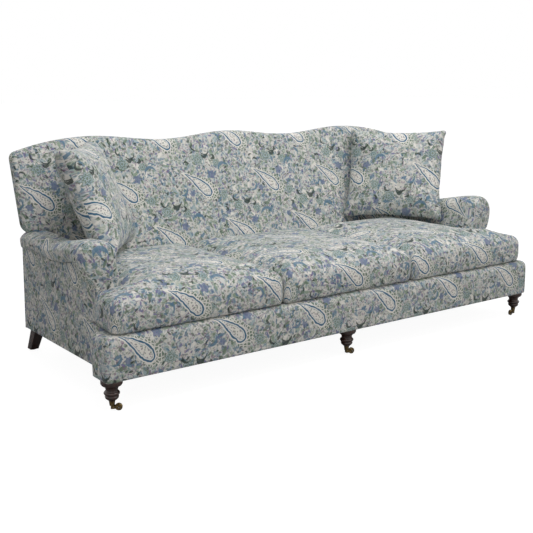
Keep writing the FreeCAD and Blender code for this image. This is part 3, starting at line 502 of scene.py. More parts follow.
def sew(name, patches, material, mirror=False):
    # Joins patches into one closed skin. A mirrored piece keeps its print the right way round.
    points, faces, cloth = [], [], []
    for patch in patches:
        start = len(points)
        points += [tuple(p) for p in patch["points"]]
        faces += [tuple(i + start for i in face) for face in patch["faces"]]
        cloth += patch["cloth"]
    if mirror:
        points = [(-x, y, z) for x, y, z in points]
        faces = [tuple(reversed(face)) for face in faces]
        cloth = [[(-u, v) for u, v in reversed(spots)] for spots in cloth]
    mesh = bpy.data.meshes.new(name)
    mesh.from_pydata(points, [], faces)
    layer = mesh.uv_layers.new(name="cloth")
    layer.data.foreach_set("uv", [c for spots in cloth for spot in spots for c in spot[:2]])
    mesh.materials.append(material)
    piece = bpy.data.objects.new(name, mesh)
    bpy.context.collection.objects.link(piece)
    weld = piece.modifiers.new("weld", "WELD")
    weld.merge_threshold = 0.0004
    settle(piece)
    piece.data.shade_smooth()
    print(name, len(piece.data.polygons), "faces")
    return piece


def ease(piece, depth, size, seed):
    # Uneven stuffing: draws the skin in by up to depth, in soft hollows about size across.
    mesh = piece.data
    count = len(mesh.vertices)
    spots, normals = np.empty(count * 3), np.empty(count * 3)
    mesh.vertices.foreach_get("co", spots)
    mesh.vertices.foreach_get("normal", normals)
    spots, normals = spots.reshape(-1, 3), normals.reshape(-1, 3)
    drawn = np.empty(count)
    for place, spot in enumerate(spots):
        wide = noise.noise(Vector(spot) / size + Vector((seed, 0, 0)))
        fine = noise.noise(Vector(spot) / size * 2.7 + Vector((0, seed, 0)))
        drawn[place] = min(1.0, max(0.0, 0.45 + 0.75 * wide + 0.35 * fine))
    spots -= normals * (drawn * depth)[:, None]
    mesh.vertices.foreach_set("co", spots.ravel())
    mesh.update()


def settle(piece):
    # Applies whatever modifiers the piece has.
    bpy.context.view_layer.update()
    depsgraph = bpy.context.evaluated_depsgraph_get()
    mesh = bpy.data.meshes.new_from_object(piece.evaluated_get(depsgraph), depsgraph=depsgraph)
    piece.modifiers.clear()
    piece.data = mesh
    return piece


# Back: one plump panel with three humps and two wings over a narrower foot.
back = {
    "kink": 0.490, "frontAtSeat": 0.850, "frontRake": 15.5, "rear": 0.932, "rearRake": 12.2,
    "foot": 0.300, "footHalf": 1.0275, "wingBottom": 0.552, "wingLow": 1.163, "wingHigh": 1.181,
    "hump": 0.970, "dip": 0.941, "humpX": 0.778, "dipX": 0.380, "shoulderX": 1.142, "shoulderZ": 0.919,
    "edge": 0.026, "panelInset": 0.030, "panelDepth": 0.0095, "spacing": 0.013, "rearSpacing": 0.05,
    "plump": 0.006, "plumpReach": 0.05, "footRound": 0.010, "neckRound": 0.012, "wingRound": 0.046,
    "shoulderRound": 0.036,
}


def backFront(z):
    return frontY + back["frontAtSeat"] + (z - back["kink"]) * math.tan(math.radians(back["frontRake"]))


def backRear(z):
    return frontY + back["rear"] + np.maximum(0, z - back["kink"]) * math.tan(math.radians(back["rearRake"]))


def crestPoints():
    # Top edge of the right half, from the middle out to the shoulder.
    b = back
    xs = np.arange(0.02, b["shoulderX"] - 0.005, 0.02)
    run, drop = b["shoulderX"] - b["humpX"], b["hump"] - b["shoulderZ"]
    radius = (run ** 2 + drop ** 2) / (2 * drop)
    points = []
    for x in xs:
        if x < b["dipX"]:
            z = b["dip"] + (b["hump"] - b["dip"]) * (1 + math.cos(math.pi * x / b["dipX"])) / 2
        elif x < b["humpX"]:
            share = (x - b["dipX"]) / (b["humpX"] - b["dipX"])
            z = b["dip"] + (b["hump"] - b["dip"]) * (1 - math.cos(math.pi * share)) / 2
        else:
            z = b["hump"] - radius + math.sqrt(radius ** 2 - (x - b["humpX"]) ** 2)
        points.append((x, z))
    return points


def backOutline():
    b = back
    run, drop = b["shoulderX"] - b["humpX"], b["hump"] - b["shoulderZ"]
    slope = run / ((run ** 2 + drop ** 2) / (2 * drop) - drop)
    highZ = b["shoulderZ"] - slope * (b["wingHigh"] - b["shoulderX"])
    crest = crestPoints()
    corners = [(-b["footHalf"], b["foot"]), (b["footHalf"], b["foot"]), (b["footHalf"], b["wingBottom"]),
               (b["wingLow"], b["wingBottom"]), (b["wingHigh"], highZ)]
    radii = [b["footRound"], b["footRound"], b["neckRound"], b["wingRound"], b["shoulderRound"]]
    top = [(b["shoulderX"], b["shoulderZ"])] + crest[::-1] + [(0.0, b["hump"])]
    top += [(-x, z) for x, z in crest] + [(-b["shoulderX"], b["shoulderZ"])]
    corners += top + [(-b["wingHigh"], highZ), (-b["wingLow"], b["wingBottom"]),
                      (-b["footHalf"], b["wingBottom"])]
    radii += [0.0] * len(top) + [b["shoulderRound"], b["wingRound"], b["neckRound"]]
    return roundedOutline(corners, radii, b["spacing"])


def backPatches():
    b = back
    loop = backOutline()
    normal = outward(loop)
    stretch = 1 / math.cos(math.radians(b["frontRake"]))
    rows, cloth = [], []

    def ring(inset, depth, onRear, spare):
        flat = loop - normal * inset
        y = backRear(flat[:, 1]) - depth if onRear else backFront(flat[:, 1]) + depth
        rows.append(np.stack([flat[:, 0], y, flat[:, 1]], 1))
        spot = (loop - normal * b["edge"]) * [1, stretch] + normal * spare
        cloth.append(np.vstack([spot, spot[:1]]))

    edge = b["edge"]
    for step in range(6):
        angle = math.pi / 2 * step / 5
        ring(edge * (1 - math.sin(angle)), edge * (1 - math.cos(angle)), False, edge * angle)
    ring(0.0, edge * 0.86, True, edge * 1.9)
    for step in range(1, 6):
        angle = math.pi / 2 * step / 5
        ring(edge * (1 - math.cos(angle)), edge * 0.86 * (1 - math.sin(angle)), True, edge * (1.9 + angle))
    ring(b["panelInset"], 0.0, True, edge * 3.6)
    ring(b["panelInset"], b["panelDepth"], True, edge * 3.9)

    def front(flat, depth):
        z = flat[:, 1]
        plump = b["plump"] * (1 - np.exp(-depth / b["plumpReach"]))
        return np.stack([flat[:, 0], backFront(z) - plump, z], 1), flat * [1, stretch]

    def rear(flat, depth):
        z = flat[:, 1]
        return np.stack([flat[:, 0], backRear(z) - b["panelDepth"], z], 1), flat * [1, stretch]

    inner = loop - normal * edge
    last = loop - normal * b["panelInset"]
    return [cap(inner, b["spacing"], front), band(rows, cloth, flip=True),
            cap(last, b["rearSpacing"], rear, flip=True)]


insideBack = sew("insideBack", backPatches(), linen)
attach(insideBack, "frame")
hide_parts("inside_back")

# Front border: the padded block under the cushions, wrapped round both ends.
border = {"half": 1.220, "depth": 0.142, "bottom": 0.120, "top": 0.292, "frontRound": 0.014,
          "returnRound": 0.032, "topRound": 0.030, "hem": 0.004, "spacing": 0.013, "belly": 0.002,
          "lidInset": 0.06, "lidSpacing": 0.05}


def borderPatches():
    b = border
    loop = roundedOutline([(-b["half"], 0.0), (b["half"], 0.0), (b["half"], b["depth"]),
                           (-b["half"], b["depth"])],
                          [b["frontRound"], b["frontRound"], b["returnRound"],
                           b["returnRound"]], b["spacing"])
    # start the loop at the middle of the rear, where the join in the cloth is out of sight
    behind = [place for place, p in enumerate(loop) if p[1] > b["depth"] - 1e-6]
    start = min(behind, key=lambda place: abs(loop[place][0]))
    loop = np.roll(loop, -start, 0)
    closed = np.vstack([loop, loop[:1]])
    run = np.concatenate([[0], np.cumsum(np.linalg.norm(np.diff(closed, axis=0), axis=1))])
    frontMid = np.argmin(abs(closed[:, 0]) + 10 * (closed[:, 1] > 0.01))
    run = run - run[frontMid] + closed[frontMid, 0]
    normal = outward(loop)
    rows, cloth = [], []

    def ring(inset, z, height):
        # past a corner's radius the points meet at its inner mitre
        flat = loop - normal * inset
        flat[:, 0] = np.clip(flat[:, 0], -b["half"] + inset, b["half"] - inset)
        flat[:, 1] = np.clip(flat[:, 1], inset, b["depth"] - inset)
        rows.append(np.stack([flat[:, 0], flat[:, 1] + frontY, np.full(len(flat), z)], 1))
        cloth.append(np.stack([run, np.full(len(run), height)], 1))

    ring(0.012, b["bottom"] + 0.001, b["bottom"] - 0.014)
    ring(b["hem"], b["bottom"], b["bottom"] - 0.004)
    ring(0.0008, b["bottom"] + 0.003, b["bottom"])
    for z in np.arange(b["bottom"] + 0.013, b["top"] - b["topRound"] - 0.004, 0.0125):
        belly = b["belly"] * math.sin(math.pi * (z - b["bottom"]) / (b["top"] - b["bottom"]))
        ring(0.001 - belly, z, z)
    for step in range(7):
        angle = math.pi / 2 * step / 6
        ring(0.0005 + b["topRound"] * (1 - math.cos(angle)), b["top"] - b["topRound"] * (1 - math.sin(angle)),
             b["top"] - b["topRound"] + b["topRound"] * angle)
    inset = b["lidInset"]
    ring(inset, b["top"], b["top"] + 0.05)
    lid = roundedOutline([(-b["half"] + inset, inset), (b["half"] - inset, inset),
                          (b["half"] - inset, b["depth"] - inset), (-b["half"] + inset, b["depth"] - inset)],
                         [0, 0, 0, 0], b["lidSpacing"])

    def above(flat, depth):
        return np.stack([flat[:, 0], flat[:, 1] + frontY, np.full(len(flat), b["top"])], 1), flat

    return [band(rows, cloth), cap(lid, inset, above)]


frontBorder = sew("frontBorder", borderPatches(), linen)
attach(frontBorder, "frame")
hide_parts("front_border")

# Arms: a low roll set back behind the border, domed and gathered at the front.
arms = {
    "inner": 1.0277, "body": 1.160, "front": 0.222, "leanFrom": 0.455, "lean": 0.016, "bottom": 0.292,
    "spacing": 0.012, "rearSpacing": 0.03, "step": 0.0106, "stepFrom": 0.06, "gathered": 8, "hang": 0.005,
    "bulge": 0.007, "bulgeReach": 0.022, "bulgeFrom": 0.445, "clothStart": (0.06, 0.11),
    "easeDepth": 0.0025, "easeSize": 0.07, "easeSeed": {"Left": 1.3, "Right": 4.9},
    # metres behind the front face, inset, roll top, underside, outer reach
    "stations": [
        (0.000, 0.036, 0.612, 0.440, 1.204), (0.0015, 0.029, 0.612, 0.440, 1.204),
        (0.004, 0.0235, 0.612, 0.440, 1.204), (0.009, 0.0165, 0.612, 0.441, 1.205),
        (0.016, 0.0100, 0.612, 0.443, 1.205), (0.025, 0.0050, 0.612, 0.447, 1.205),
        (0.038, 0.0015, 0.611, 0.456, 1.206), (0.053, 0.0, 0.610, 0.470, 1.206),
        (0.070, 0.0, 0.609, 0.488, 1.206), (0.092, 0.0, 0.606, 0.505, 1.205),
        (0.118, 0.0, 0.603, 0.515, 1.204), (0.150, 0.0, 0.599, 0.514, 1.203),
        (0.190, 0.0, 0.592, 0.506, 1.201), (0.238, 0.0, 0.583, 0.497, 1.198),
        (0.290, 0.0, 0.572, 0.491, 1.195), (0.348, 0.0, 0.562, 0.489, 1.192),
        (0.430, 0.0, 0.561, 0.490, 1.188), (0.538, 0.0, 0.567, 0.490, 1.184),
        (0.620, 0.0, 0.566, 0.490, 1.179), (0.697, 0.0, 0.560, 0.490, 1.174),
        (0.706, 0.003, 0.559, 0.490, 1.174), (0.710, 0.010, 0.558, 0.490, 1.174),
    ],
}


def arcPoints(start, via, end, count):
    # Points along the circle through three points, without the last one.
    a, b, c = np.array(start), np.array(via), np.array(end)
    d = 2 * (a[0] * (b[1] - c[1]) + b[0] * (c[1] - a[1]) + c[0] * (a[1] - b[1]))
    centre = np.array([
        ((a @ a) * (b[1] - c[1]) + (b @ b) * (c[1] - a[1]) + (c @ c) * (a[1] - b[1])) / d,
        ((a @ a) * (c[0] - b[0]) + (b @ b) * (a[0] - c[0]) + (c @ c) * (b[0] - a[0])) / d])
    first, mid, last = [math.atan2(*(p - centre)[::-1]) for p in (a, b, c)]
    turn = (last - first) % (2 * math.pi)
    if (mid - first) % (2 * math.pi) > turn:
        turn -= 2 * math.pi
    radius = np.linalg.norm(a - centre)
    return [centre + radius * np.array([math.cos(first + turn * step / count),
                                        math.sin(first + turn * step / count)])
            for step in range(count)]


def straightPoints(start, end, count):
    a, b = np.array(start), np.array(end)
    return [a + (b - a) * step / count for step in range(count)]


def armSection(inset, top, under, outer, step=0.0):
    # Counterclockwise from the foot of the inner face, under the arm, up the outside and over the roll.
    a = arms
    top, outer = top - inset, outer - inset
    outside = a["body"] - min(inset, 0.010)
    inner = a["inner"] + inset / 2
    middle = (top + under) / 2 + (top - under) * 0.1
    topX = (inner + outer) / 2 + 0.004
    side = outside - step
    lip = (outside + (0.002 if step else 0.0), under + (0.002 if step else 0.0))
    loop = straightPoints((inner, a["bottom"]), (side, a["bottom"]), 9)
    loop += straightPoints((side, a["bottom"]), (side, under - 0.004), 13)
    loop += straightPoints((side, under - 0.004), lip, 3)
    # behind the front the roll hangs a little below the crease over the outside panel
    hang = a["hang"] if step else 0.0
    for share in range(9):
        turn = share / 9 * math.pi / 2
        loop.append(np.array([lip[0] + (outer - lip[0]) * math.sin(turn) ** 0.85,
                              lip[1] + (middle - lip[1]) * (1 - math.cos(turn)) - hang * math.sin(2 * turn)]))
    loop += arcPoints((outer, middle), (outer - (outer - topX) * 0.26, top - (top - middle) * 0.27),
                      (topX, top), 11)
    loop += arcPoints((topX, top), (topX - (topX - inner) * 0.62, top - (top - middle) * 0.24),
                      (inner + a["lean"], middle - 0.006), 10)
    loop += arcPoints((inner + a["lean"], middle - 0.006), (inner + a["lean"] * 0.36, a["leanFrom"] + 0.030),
                      (inner, a["leanFrom"]), 5)
    loop += straightPoints((inner, a["leanFrom"]), (inner, a["bottom"]), 11)
    return np.array(loop)


def armPatches():
    a = arms
    loops = [armSection(*station[1:], step=a["step"] if station[0] > a["stepFrom"] else 0.0)
             for station in a["stations"]]
    first = loops[0]
    normal = outward(first)
    rows, cloth = [], []
    for station, loop in zip(a["stations"], loops):
        rows.append(np.stack([loop[:, 0], np.full(len(loop), frontY + a["front"] + station[0]), loop[:, 1]],
                             1))
    # the gathered front keeps the print of its face; the roll has its own run of cloth
    gathered = a["gathered"]
    run = 0.0
    for place in range(gathered):
        if place:
            run += np.linalg.norm(rows[place] - rows[place - 1], axis=1).mean()
        spot = first + normal * run
        cloth.append(np.vstack([spot, spot[:1]]))
    front = {"rows": rows[:gathered], "cloth": cloth}
    cloth = []
    for loop, station in zip(loops[gathered - 1:], a["stations"][gathered - 1:]):
        closed = np.vstack([loop, loop[:1]])
        along = np.concatenate([[0], np.cumsum(np.linalg.norm(np.diff(closed, axis=0), axis=1))])
        cloth.append(np.stack([np.full(len(closed), a["clothStart"][0] + station[0]),
                               a["clothStart"][1] + along], 1))
    roll = {"rows": rows[gathered - 1:], "cloth": cloth}

    def face(flat, depth):
        clear = np.clip((flat[:, 1] - a["bulgeFrom"]) / 0.05, 0, 1)
        bulge = a["bulge"] * (1 - np.exp(-depth / a["bulgeReach"])) * clear
        return np.stack([flat[:, 0], frontY + a["front"] - bulge, flat[:, 1]], 1), flat

    def rear(flat, depth):
        behind = frontY + a["front"] + a["stations"][-1][0]
        return np.stack([flat[:, 0], np.full(len(flat), behind), flat[:, 1]], 1), flat

    return [cap(first, a["spacing"], face), band(front["rows"], front["cloth"], flip=True),
            band(roll["rows"], roll["cloth"], flip=True), cap(loops[-1], a["rearSpacing"], rear, flip=True)]


for side, mirror in (("Left", True), ("Right", False)):
    arm = sew("arm" + side, armPatches(), linen, mirror)
    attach(arm, "frame")
    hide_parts("arm_" + side.lower())
    ease(arm, arms["easeDepth"], arms["easeSize"], arms["easeSeed"][side])


# Flat panels: cloth over thin padding on the outside of the arms and the back.
panels = {
    "thick": 0.0095, "edge": 0.004, "spacing": 0.03, "backSpacing": 0.025, "insideSpacing": 0.08,
    "timber": 1.1503, "front": 0.142, "rear": 0.922, "bottom": 0.120, "rearTop": 0.490, "armFrom": 0.275,
    "borderTop": 0.292, "half": 1.160, "neck": 1.129,
}


def panelPatches(corners, radii, place, spacing=panels["spacing"]):
    # place turns flat points and a height above the timber into 3-D.
    p = panels
    loop = roundedOutline(corners, radii, spacing)
    normal = outward(loop)
    rows, cloth = [], []
    for inset, height in ((0.0, 0.0), (0.0, p["thick"] - p["edge"]),
                          (p["edge"] * 0.3, p["thick"] - p["edge"] * 0.3),
                          (p["edge"], p["thick"])):
        flat = loop - normal * inset
        rows.append(place(flat, height))
        cloth.append(np.vstack([flat, flat[:1]]))

    def over(flat, depth):
        return place(flat, p["thick"]), flat

    def under(flat, depth):
        return place(flat, 0.0), flat

    last = loop - normal * p["edge"]
    return [band(rows, cloth), cap(last, spacing, over), cap(loop, p["insideSpacing"], under, flip=True)]


armSide = [(station[0] + arms["front"], station[3]) for station in arms["stations"][7:18]]
sideCorners = [(panels["front"], panels["bottom"]), (panels["rear"], panels["bottom"]),
               (panels["rear"], panels["rearTop"])]
sideCorners += armSide[::-1] + [(panels["armFrom"], panels["borderTop"]),
                                (panels["front"], panels["borderTop"])]
for side, sign in (("Left", -1), ("Right", 1)):
    # seen from outside, the right-hand panel runs rearwards and the left-hand one forwards
    corners = [(sign * y, z) for y, z in sideCorners]
    if sign < 0:
        corners = corners[::-1]

    def place(flat, height, sign=sign):
        across = np.full(len(flat), sign * (panels["timber"] + height))
        return np.stack([across, flat[:, 0] * sign + frontY, flat[:, 1]], 1)

    panel = sew("outsideArm" + side, panelPatches(corners, [0.0] * len(corners), place), linen)
    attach(panel, "frame")
    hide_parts("outside_arm_" + side.lower())


def outsideBackPatches():
    # Seen from behind, x runs the other way, so that the print reads right.
    b = back
    inset = b["panelInset"] + 0.0008
    loop = backOutline()
    loop = loop - outward(loop) * inset
    high = [(p[0], p[1]) for p in loop if p[1] > b["wingBottom"] + inset + 0.001]
    start = max(range(len(high)), key=lambda place: (high[place][0] > 0) * 10 - high[place][1])
    high = high[start:] + high[:start]
    # the neck is wide enough to hide the end posts
    half, kink, neck, low = panels["half"], b["kink"], panels["neck"], panels["bottom"]
    corners = [(-half, low), (half, low), (half, kink), (neck, kink), (neck, b["wingBottom"] + inset)] + high
    corners += [(-neck, b["wingBottom"] + inset), (-neck, kink), (-half, kink)]
    corners = [(-x, z) for x, z in corners][::-1]

    def place(flat, height):
        z = flat[:, 1]
        return np.stack([-flat[:, 0], backRear(z) - panels["thick"] + height, z], 1)

    return panelPatches(corners, [0.0] * len(corners), place, panels["backSpacing"])


outsideBack = sew("outsideBack", outsideBackPatches(), linen)
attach(outsideBack, "frame")
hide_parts("outside_back")

# Seat cushions: loose, crowned, with soft front edges; the end ones reach round the arms.
seat = {
    "seam": 0.378, "gap": 0.00015, "front": 0.004, "bottom": 0.2923, "armInner": 1.0277, "notch": 0.2217,
    "earFront": 1.190, "earRear": 1.172, "round": 0.046, "spacing": 0.0125,
    # inset from the widest line, against height above the cushion's bottom
    "sides": [(0.024, 0.0), (0.012, 0.0035), (0.0055, 0.012), (0.002, 0.026), (0.0, 0.044), (0.0, 0.064),
              (0.0006, 0.084), (0.003, 0.101), (0.008, 0.117), (0.0155, 0.130), (0.0255, 0.1405), (0.037,
                                                                                                   0.149)],
    "crown": [(0.037, 0.149), (0.055, 0.159), (0.08, 0.1695), (0.11, 0.178), (0.15, 0.185), (0.20, 0.1895),
              (0.26, 0.192), (0.34, 0.193), (0.6, 0.193)],
    "rear": 0.7890,  # depth of the back's front face at the cushion's bottom
    "seamRound": 0.030, "notchRound": 0.008, "rearRound": 0.026, "leanFrom": 0.5, "baseSpacing": 0.03,
    "earDrop": 0.62, "earReach": 0.12, "earLow": 0.10, "earSlack": 0.25, "clothUp": 0.02,
    "easeDepth": 0.0035, "easeSize": 0.11, "easeSeed": {"Left": 3.1, "Centre": 5.7, "Right": 8.3},
}


def cushionPatches(left, right, ear):
    s = seat
    rear = s["rear"]
    if ear:
        corners = [(left, s["front"]), (s["earFront"], s["front"]), (s["earRear"], s["notch"]),
                   (right, s["notch"]),
                   (right, rear), (left, rear)]
        radii = [s["seamRound"], s["round"], s["round"], s["notchRound"], s["round"], s["rearRound"]]
    else:
        corners = [(left, s["front"]), (right, s["front"]), (right, rear), (left, rear)]
        radii = [s["seamRound"], s["seamRound"], s["rearRound"], s["rearRound"]]
    loop = roundedOutline(corners, radii, s["spacing"])
    normal = outward(loop)
    rake = math.tan(math.radians(back["frontRake"]))
    crown = np.array(s["crown"])
    rows, cloth = [], []
    run = 0.0

    def lean(flat, lift):
        # the rear follows the slope of the back
        share = np.clip((flat[:, 1] - s["leanFrom"]) / (rear - s["leanFrom"]), 0, 1)
        return flat[:, 1] + share * lift * rake

    # rows from the top inwards end down to the bottom, so that the print runs off the crown
    last = s["sides"][-1][0]
    before = None
    for inset, lift in reversed(s["sides"]):
        flat = loop - normal * inset
        lifts = np.full(len(flat), lift)
        ahead = np.clip((flat[:, 0] - s["armInner"]) / s["earReach"], 0, 1) if ear else 0 * lifts
        lifts = lifts - ahead * np.maximum(0, lifts - s["earLow"]) * s["earSlack"]
        y = lean(flat, lifts)
        row = np.stack([flat[:, 0], y + frontY, lifts + s["bottom"]], 1)
        if before is not None:
            run += np.linalg.norm(row - before, axis=1).mean()
        before = row
        rows.append(row)
        spot = (loop - normal * last) + normal * run
        cloth.append(np.vstack([spot, spot[:1]]))

    def top(flat, depth):
        lift = np.interp(depth + last, crown[:, 0], crown[:, 1])
        if ear:
            share = np.clip((flat[:, 0] - s["armInner"] + 0.05) / 0.14, 0, 1)
            share = share * share * (3 - 2 * share)
            lift = crown[0, 1] + (lift - crown[0, 1]) * (1 - s["earDrop"] * share)
            ahead = np.clip((flat[:, 0] - s["armInner"]) / s["earReach"], 0, 1)
            lift = lift - ahead * (lift - s["earLow"]) * s["earSlack"]
        y = lean(flat, lift)
        return np.stack([flat[:, 0], y + frontY, lift + s["bottom"]], 1), flat

    def base(flat, depth):
        return np.stack([flat[:, 0], flat[:, 1] + frontY, np.full(len(flat), s["bottom"])], 1), flat

    inner = loop - normal * last
    low = loop - normal * s["sides"][0][0]
    return [cap(inner, s["spacing"], top), band(rows, cloth, flip=True),
            cap(low, s["baseSpacing"], base, flip=True)]


def shiftCloth(piece, across, up):
    layer = piece.data.uv_layers["cloth"].data
    spots = np.empty(len(layer) * 2)
    layer.foreach_get("uv", spots)
    layer.foreach_set("uv", spots + np.tile([across, up], len(layer)))


middle = seat["seam"] - seat["gap"]
for side, patches, mirror in (
        ("Left", cushionPatches(seat["seam"] + seat["gap"], seat["armInner"], True), True),
        ("Centre", cushionPatches(-middle, middle, False), False),
        ("Right", cushionPatches(seat["seam"] + seat["gap"], seat["armInner"], True), False)):
    cushion = sew("seatCushion" + side, patches, linen, mirror)
    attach(cushion, "seat_cushion_" + side.lower())
    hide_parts("seat_cushion_" + side.lower(), "cushion_core_" + side.lower())
    shiftCloth(cushion, 0.0, seat["clothUp"])
    ease(cushion, seat["easeDepth"], seat["easeSize"], seat["easeSeed"][side])

# Corner pillows: knife edges, pointed corners, full middles.
pillow = {
    "width": 0.545, "height": 0.522, "turn": 52.0, "lean": 22.0, "place": (0.830, 0.613), "full": 0.086,
    "drawnIn": 0.020, "corner": 0.016, "spacing": 0.0125, "fullReach": 0.075, "clear": 0.001,
    "easeDepth": 0.006, "easeSize": 0.085, "easeSeed": {"Left": 2.2, "Right": 6.4},
}


def pillowOutline():
    p = pillow
    half, high = p["width"] / 2, p["height"]
    corners, radii = [], []
    for (x0, y0), (x1, y1) in (((-half, 0.0), (half, 0.0)), ((half, 0.0), (half, high)),
                               ((half, high), (-half, high)), ((-half, high), (-half, 0.0))):
        corners.append((x0, y0))
        radii.append(p["corner"])
        inward = Vector((-(y1 - y0), x1 - x0)).normalized() * p["drawnIn"]
        for share in np.arange(0.1, 0.95, 0.1):
            bow = math.sin(math.pi * share) ** 0.8
            corners.append((x0 + (x1 - x0) * share + inward.x * bow, y0 + (y1 - y0) * share + inward.y * bow))
            radii.append(0.0)
    return roundedOutline(corners, radii, p["spacing"])


def pillowPatches(lift):
    p = pillow
    loop = pillowOutline()
    lean, turn = math.radians(-p["lean"]), math.radians(-p["turn"])

    def place(flat, depth, side):
        full = p["full"] * np.sqrt(np.clip(1 - np.exp(-(depth / p["fullReach"]) ** 1.25), 0, 1))
        y = side * full
        z = flat[:, 1]
        y, z = y * math.cos(lean) - z * math.sin(lean), y * math.sin(lean) + z * math.cos(lean)
        x = flat[:, 0]
        x, y = x * math.cos(turn) - y * math.sin(turn), x * math.sin(turn) + y * math.cos(turn)
        return np.stack([x + p["place"][0], y + p["place"][1] + frontY, z + lift], 1)

    return [cap(loop, p["spacing"], lambda flat, depth: (place(flat, depth, -1), flat)),
            cap(loop, p["spacing"], lambda flat, depth: (place(flat, depth, 1), flat * [-1, 1]), flip=True)]


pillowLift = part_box("pillow_right")[0][2]
for side, mirror in (("Left", True), ("Right", False)):
    cushion = sew("pillow" + side, pillowPatches(pillowLift + pillow["clear"]), linen, mirror)
    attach(cushion, "pillow_" + side.lower())
    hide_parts("pillow_" + side.lower(), "pillow_insert_" + side.lower())
    ease(cushion, pillow["easeDepth"], pillow["easeSize"], pillow["easeSeed"][side])

# Timber, turned legs, brass and the rest: finishes for the pieces under and inside the upholstery.
finishes = {
    "stain": "#3b1e15", "stainDark": "#1c0d09", "beech": "#c2996a", "beechDark": "#a87c4e", "jute": "#a58a62",
    "juteDark": "#7d6544", "brass": "#8d7a55", "brassDark": "#4b3f2c", "steel": "#8d9092",
    "black": "#1b1b1d", "nylon": "#26211d", "decking": "#b9b2a2",
}


def grained(name, pale, dark, roughness, coat, spacing, axis):
    # Sawn or turned wood: growth rings run along one axis and pores follow them.
    material, tree, shader = surface(name, Roughness=roughness, Coat_Weight=coat, Coat_Roughness=0.22)
    where = addNode(tree, "ShaderNodeTexCoord").outputs["Object"]
    stretch = {"X": (0.06, 1.0, 1.0), "Z": (1.0, 1.0, 0.06)}[axis]
    long = addNode(tree, "ShaderNodeMapping", {"Vector": where, "Scale": stretch}).outputs[0]
    rings = addNode(tree, "ShaderNodeTexNoise", {"Vector": long, "Scale": 1.0 / spacing, "Detail": 4.0,
                                                 "Distortion": 0.6}).outputs[0]
    spread = addNode(tree, "ShaderNodeMapRange", {"Value": rings, "From Min": 0.35,
                                                  "From Max": 0.65}).outputs[0]
    color = addNode(tree, "ShaderNodeMix", {0: spread, 6: hexToLinear(finishes[dark]),
                                            7: hexToLinear(finishes[pale])}, data_type="RGBA").outputs[2]
    tree.links.new(color, shader.inputs["Base Color"])
    pores = addNode(tree, "ShaderNodeTexNoise", {"Vector": long, "Scale": 4.0 / spacing,
                                                 "Detail": 2.0}).outputs[0]
    rough = addNode(tree, "ShaderNodeMapRange", {"Value": pores, "To Min": roughness - 0.07,
                                                 "To Max": roughness + 0.10}).outputs[0]
    tree.links.new(rough, shader.inputs["Roughness"])
    relief = addNode(tree, "ShaderNodeBump", {"Strength": 0.25, "Distance": 0.0004,
                                              "Height": pores}).outputs[0]
    tree.links.new(relief, shader.inputs["Normal"])
    return material


def patinated(name, bright, dark, roughness, metallic, size, relief):
    # Cast or drawn metal: tarnish gathers in patches and the handled places stay brighter.
    material, tree, shader = surface(name, Roughness=roughness, Metallic=metallic)
    where = addNode(tree, "ShaderNodeTexCoord").outputs["Object"]
    patches = addNode(tree, "ShaderNodeTexNoise", {"Vector": where, "Scale": 1.0 / size,
                                                   "Detail": 3.0}).outputs[0]
    share = addNode(tree, "ShaderNodeMapRange", {"Value": patches, "From Min": 0.38,
                                                 "From Max": 0.62}).outputs[0]
    color = addNode(tree, "ShaderNodeMix", {0: share, 6: hexToLinear(finishes[dark]),
                                            7: hexToLinear(finishes[bright])}, data_type="RGBA").outputs[2]
    tree.links.new(color, shader.inputs["Base Color"])
    rough = addNode(tree, "ShaderNodeMapRange", {"Value": patches, "To Min": roughness + 0.15,
                                                 "To Max": roughness - 0.08}).outputs[0]
    tree.links.new(rough, shader.inputs["Roughness"])
    bumps = addNode(tree, "ShaderNodeBump", {"Strength": relief, "Distance": 0.0003,
                                             "Height": patches}).outputs[0]
    tree.links.new(bumps, shader.inputs["Normal"])
    return material


def woven(name, pale, dark, roughness, threads, sheen):
    # Plain-woven cloth or tape: weft and warp cross at a real thread spacing in metres.
    material, tree, shader = surface(name, Roughness=roughness, Sheen_Weight=sheen, Specular_IOR_Level=0.2)
    where = addNode(tree, "ShaderNodeTexCoord").outputs["Object"]
    weave = []
    for direction in ("X", "Y"):
        weave.append(addNode(tree, "ShaderNodeTexWave", {"Vector": where, "Scale": 0.314 / threads,
                                                         "Distortion": 0.6},
                             bands_direction=direction).outputs["Fac"])
    crossed = addNode(tree, "ShaderNodeMath", {0: weave[0], 1: weave[1]}, operation="MULTIPLY").outputs[0]
    color = addNode(tree, "ShaderNodeMix", {0: crossed, 6: hexToLinear(finishes[dark]),
                                            7: hexToLinear(finishes[pale])}, data_type="RGBA").outputs[2]
    tree.links.new(color, shader.inputs["Base Color"])
    relief = addNode(tree, "ShaderNodeBump", {"Strength": 0.4, "Distance": 0.0006,
                                              "Height": crossed}).outputs[0]
    tree.links.new(relief, shader.inputs["Normal"])
    return material


# Beech rails, planed; rings 4 mm apart, drawn 12 mm so that they show.
beechRails = grained("planedBeech", "beech", "beechDark", 0.55, 0.0, 0.012, "X")
beechPosts = grained("planedBeechUpright", "beech", "beechDark", 0.55, 0.0, 0.012, "Z")
# Beech stained espresso under satin lacquer; rings 3 mm apart, drawn 8 mm so that they show.
stainedBeech = grained("stainedBeech", "stain", "stainDark", 0.34, 0.35, 0.008, "Z")
# Cast brass left to age: dull olive brown, brighter in random patches.
agedBrass = patinated("agedBrass", "brass", "brassDark", 0.36, 1.0, 0.006, 0.3)
# Zinc-plated steel bolts and plates: one even grey, duller in cloudy patches.
zincSteel = patinated("zincPlatedSteel", "steel", "steel", 0.34, 1.0, 0.012, 0.12)
# Moulded nylon glide, lightly scuffed.
nylon = patinated("mouldedNylon", "nylon", "black", 0.5, 0.0, 0.004, 0.2)
